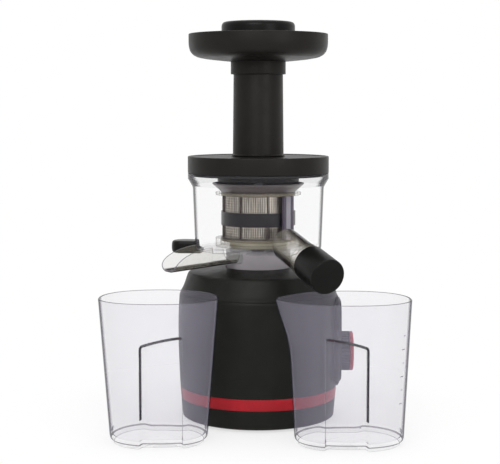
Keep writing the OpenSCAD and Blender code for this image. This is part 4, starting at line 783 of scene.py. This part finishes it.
def jug(name, at, side, lip):
    """A jug as one closed wall: up its outside from the foot, over the rim and down its inside to the floor,
    with the middle of the floor and of the foot closed."""
    foot_z, foot_in = [0, 0.25, 2.6, 3.0, 3.6, 5.0, 7.5], [3.9, 3.6, 3.5, 3.3, 1.6, 0.4, 0.0]
    side_z, edge_z = np.linspace(12, 92, 16), np.linspace(95, 112, 36)
    up = np.concatenate([foot_z, side_z, edge_z, np.linspace(115, JUG_TOP - 1, 9)])
    outer = np.stack([up, np.interp(up, foot_z, foot_in)], -1)
    rim = np.array([(139.6, 0.15), (JUG_TOP, 0.6), (JUG_TOP, 1.6), (139.6, 2.05)])
    floor_z = [10, 8.4, 7.4, 6.9, 6.8, 6.8]
    down = np.concatenate([np.linspace(JUG_TOP - 2, 115, 8), edge_z[::-1], side_z[::-1], floor_z])
    inn = np.interp(-down, [-JUG_TOP, -10, -8.4, -7.4, -6.9, -6.8], [2.2, 2.2, 2.7, 3.6, 4.8, 6.4])
    inn[-1] = 14
    levels = np.concatenate([outer, rim, np.stack([down, inn], -1)])
    grid = jug_rings(levels[:, 0], levels[:, 1], side, lip)
    foot, floor = grid[:1].copy(), grid[-1:].copy()
    foot[..., :2], floor[..., :2] = 0, 0
    grid = np.concatenate([foot, grid, floor])
    return surface(name, grid + np.array([at[0], at[1], 0]), close_u=False, angle=60)


left_jug = jug("left_jug", LEFT_AT, -1, 0)
finish_piece(left_jug, clear_jug, "pulp_jug", "clear", "pulp_jug")
right_jug = jug("right_jug", RIGHT_AT, 1, LIP)
finish_piece(right_jug, clear_jug, "juice_jug", "clear", "juice_jug")


def jug_ledge(x, y, z, nx, nz, at, side):
    """Faces of the front recess's ledge and of its side that is further out."""
    out = side * (x - at[0])
    ledge = (z > 92) & (np.abs(nz) > 0.5)
    outer_side = (z > 30) & (np.abs(nx) > 0.75) & (out > 8) & (out < 22)
    return (y < at[1] - 20) & (z < 114) & (ledge | outer_side)


for piece, at, side in ((left_jug, LEFT_AT, -1), (right_jug, RIGHT_AT, 1)):
    faces_where(piece, clear_jug_inside, lambda x, y, z, nx, ny, nz:
                (z > 12) & (nx * (x - at[0]) + ny * (y - at[1]) < 0) & (np.abs(nz) < 0.5))
    # the rim is thick and round, and the front recess has a thick ledge and outer side
    faces_where(piece, clear_edge, lambda x, y, z, nx, ny, nz: z > 139.3)
    faces_where(piece, clear_ledge, lambda x, y, z, nx, ny, nz: jug_ledge(x, y, z, nx, nz, at, side))
    faces_where(piece, clear_floor, lambda x, y, z, nx, ny, nz: (z < 3.2) | ((z < 12) & (np.abs(nz) > 0.6)))
    faces_where(piece, clear_edge, lambda x, y, z, nx, ny, nz:
                (np.abs(nz) < 0.9) & ((z < 0.3) | ((z > 3.2) & (z < 5.2))))


def mark(height, first, last):
    """Printed mark on the right jug: a strip 0.7 mm tall and 0.06 mm thick that follows the jug's outside
    between two turns round it, in hundredths of a full turn."""
    turn = np.linspace(first, last, 12) * TAU / 100
    rings = jug_rings([height - 0.35, height + 0.35], [-0.02, -0.02], 1, LIP, turn)
    middle = rings.mean(1, keepdims=True).mean(0, keepdims=True) * (1, 1, 0)
    away = (rings - middle) * (1, 1, 0)
    outer = rings + 0.06 * away / np.linalg.norm(away, axis=2, keepdims=True)
    loop = np.concatenate([rings, outer[::-1]])
    ends = [np.broadcast_to(loop[:, k].mean(0)[None, None], (4, 1, 3)) for k in (0, -1)]
    grid = np.concatenate([ends[0], loop, ends[1]], 1)
    return surface("mark", grid + np.array([*RIGHT_AT, 0]), close_v=False)


# grey printing ink of the graduations, one each 13 mm
ink = moulded("printing_ink_grey", "#6f6d78", "#787682", 0.6, 0.4, 0.02)
heights = (43.5, 56.5, 69.5, 82.5, 95.5, 108.5)
marks = joined("marks", [mark(h, 90.7 if k % 2 else 90, 91.6) for k, h in enumerate(heights)])
finish_piece(marks, ink, "juice_jug", "clear")

# ---------- finishes of the parts that keep their shape ----------
FINISH = {
    lid_black: ("base_plate", "motor_fan", "rotary_switch"),
    rubber: ("rubber_feet", "cord_inlet", "vibration_dampers", "shaft_seal", "neck_gasket", "lid_gasket"),
    zinc: ("base_screws", "panel_screws", "motor_screws", "gearbox_screws"),
    steel: ("switch_spindle", "motor_can", "motor_pinion", "compound_axle", "drive_shaft", "lower_bearing",
            "idler_pin", "auger_gear", "auger_pin"),
    copper: ("motor_rotor",),
    cast: ("gearbox_case", "gearbox_cover"),
    nylon: ("compound_gear", "output_gear", "idler_pinion", "brush_ring_gear", "lid_bush"),
    bronze: ("upper_bearing",),
    board: ("control_board",),
    silicone: ("pulp_plug", "brush_wipers", "drip_cap_seal"),
    smoke: ("strainer_frame",),
    resin: ("auger",),
}
for finish, names in FINISH.items():
    for name in names:
        for place in nodes[name].material_slots:
            place.material = finish

# ---------- floor, backdrop and light ----------


def floor_material():
    """Matt white floor that shows its shadow near the object and fades to the white backdrop further out.
    Near the object it also glows faintly for every ray: painted light that lights the object a little from
    below.
    """
    m, t = blank("white_floor")
    at = add(t, "TexCoord").outputs["Object"]
    far = add(t, "VectorMath", {0: at}, operation="LENGTH").outputs["Value"]
    fade = add(t, "MapRange", {"Value": far, "From Min": 0.13, "From Max": 0.3, "To Min": 0.55},
               interpolation_type="SMOOTHSTEP")
    matt = add(t, "BsdfDiffuse", {"Color": (0.86, 0.86, 0.86, 1)})
    # painted light: the near floor glows faintly for every ray, so it also lights the object from below
    lift = add(t, "Emission", {"Color": (1, 1, 1, 1), "Strength": 0.2})
    near = add(t, "AddShader", {0: matt, 1: lift})
    white = add(t, "Emission", {"Color": (1, 1, 1, 1), "Strength": 1.0})
    faded = add(t, "Math", {0: fade, 1: seen_by_eye(t)}, operation="MULTIPLY")
    add(t, "OutputMaterial", {"Surface": add(t, "MixShader", {0: faded, 1: near, 2: white})})
    return m


# a disc of 8 m in rings that widen outwards
ring = np.array([0, 0.3, 1, 2, 4, 8]) / MM
turns = np.linspace(0, TAU, 64, endpoint=False)
floor_x, floor_y = np.outer(ring, np.cos(turns)), np.outer(ring, np.sin(turns))
floor_grid = np.stack([floor_x, floor_y, np.zeros_like(floor_x)], -1)
floor = surface("floor", floor_grid, close_u=False)
if floor.data.polygons[0].normal.z < 0:
    floor.data.flip_normals()
floor.data.materials.append(floor_material())

world = bpy.data.worlds.new("studio")
scene.world = world
world.use_nodes = True
t = world.node_tree
t.nodes.clear()
strength = add(t, "MapRange", {"Value": seen_by_eye(t), "To Min": 0.5, "To Max": 1.0})
add(t, "OutputWorld", {"Surface": add(t, "Background", {"Color": (1, 1, 1, 1), "Strength": strength})})


def lamp(name, at, towards, size, power_w):
    """A rectangular soft light that points from one place to another."""
    data = bpy.data.lights.new(name, "AREA")
    data.shape, data.size, data.size_y, data.energy = "RECTANGLE", size[0], size[1], power_w
    ob = bpy.data.objects.new(name, data)
    scene.collection.objects.link(ob)
    ob.location = at
    aim = np.array(towards) - np.array(at)
    tilt = math.atan2(math.hypot(aim[0], aim[1]), -aim[2])
    ob.rotation_euler = (tilt, 0, math.atan2(aim[0], -aim[1]) + math.pi)


lamp("key", (-0.5, -2.2, 1.5), (0, 0, 0.2), (1.6, 1.2), 26)
lamp("fill", (1.4, -1.8, 0.9), (0, 0, 0.2), (1.2, 1.4), 12)
lamp("top", (0, 0.2, 2.2), (0, 0, 0.1), (1.8, 1.8), 14)
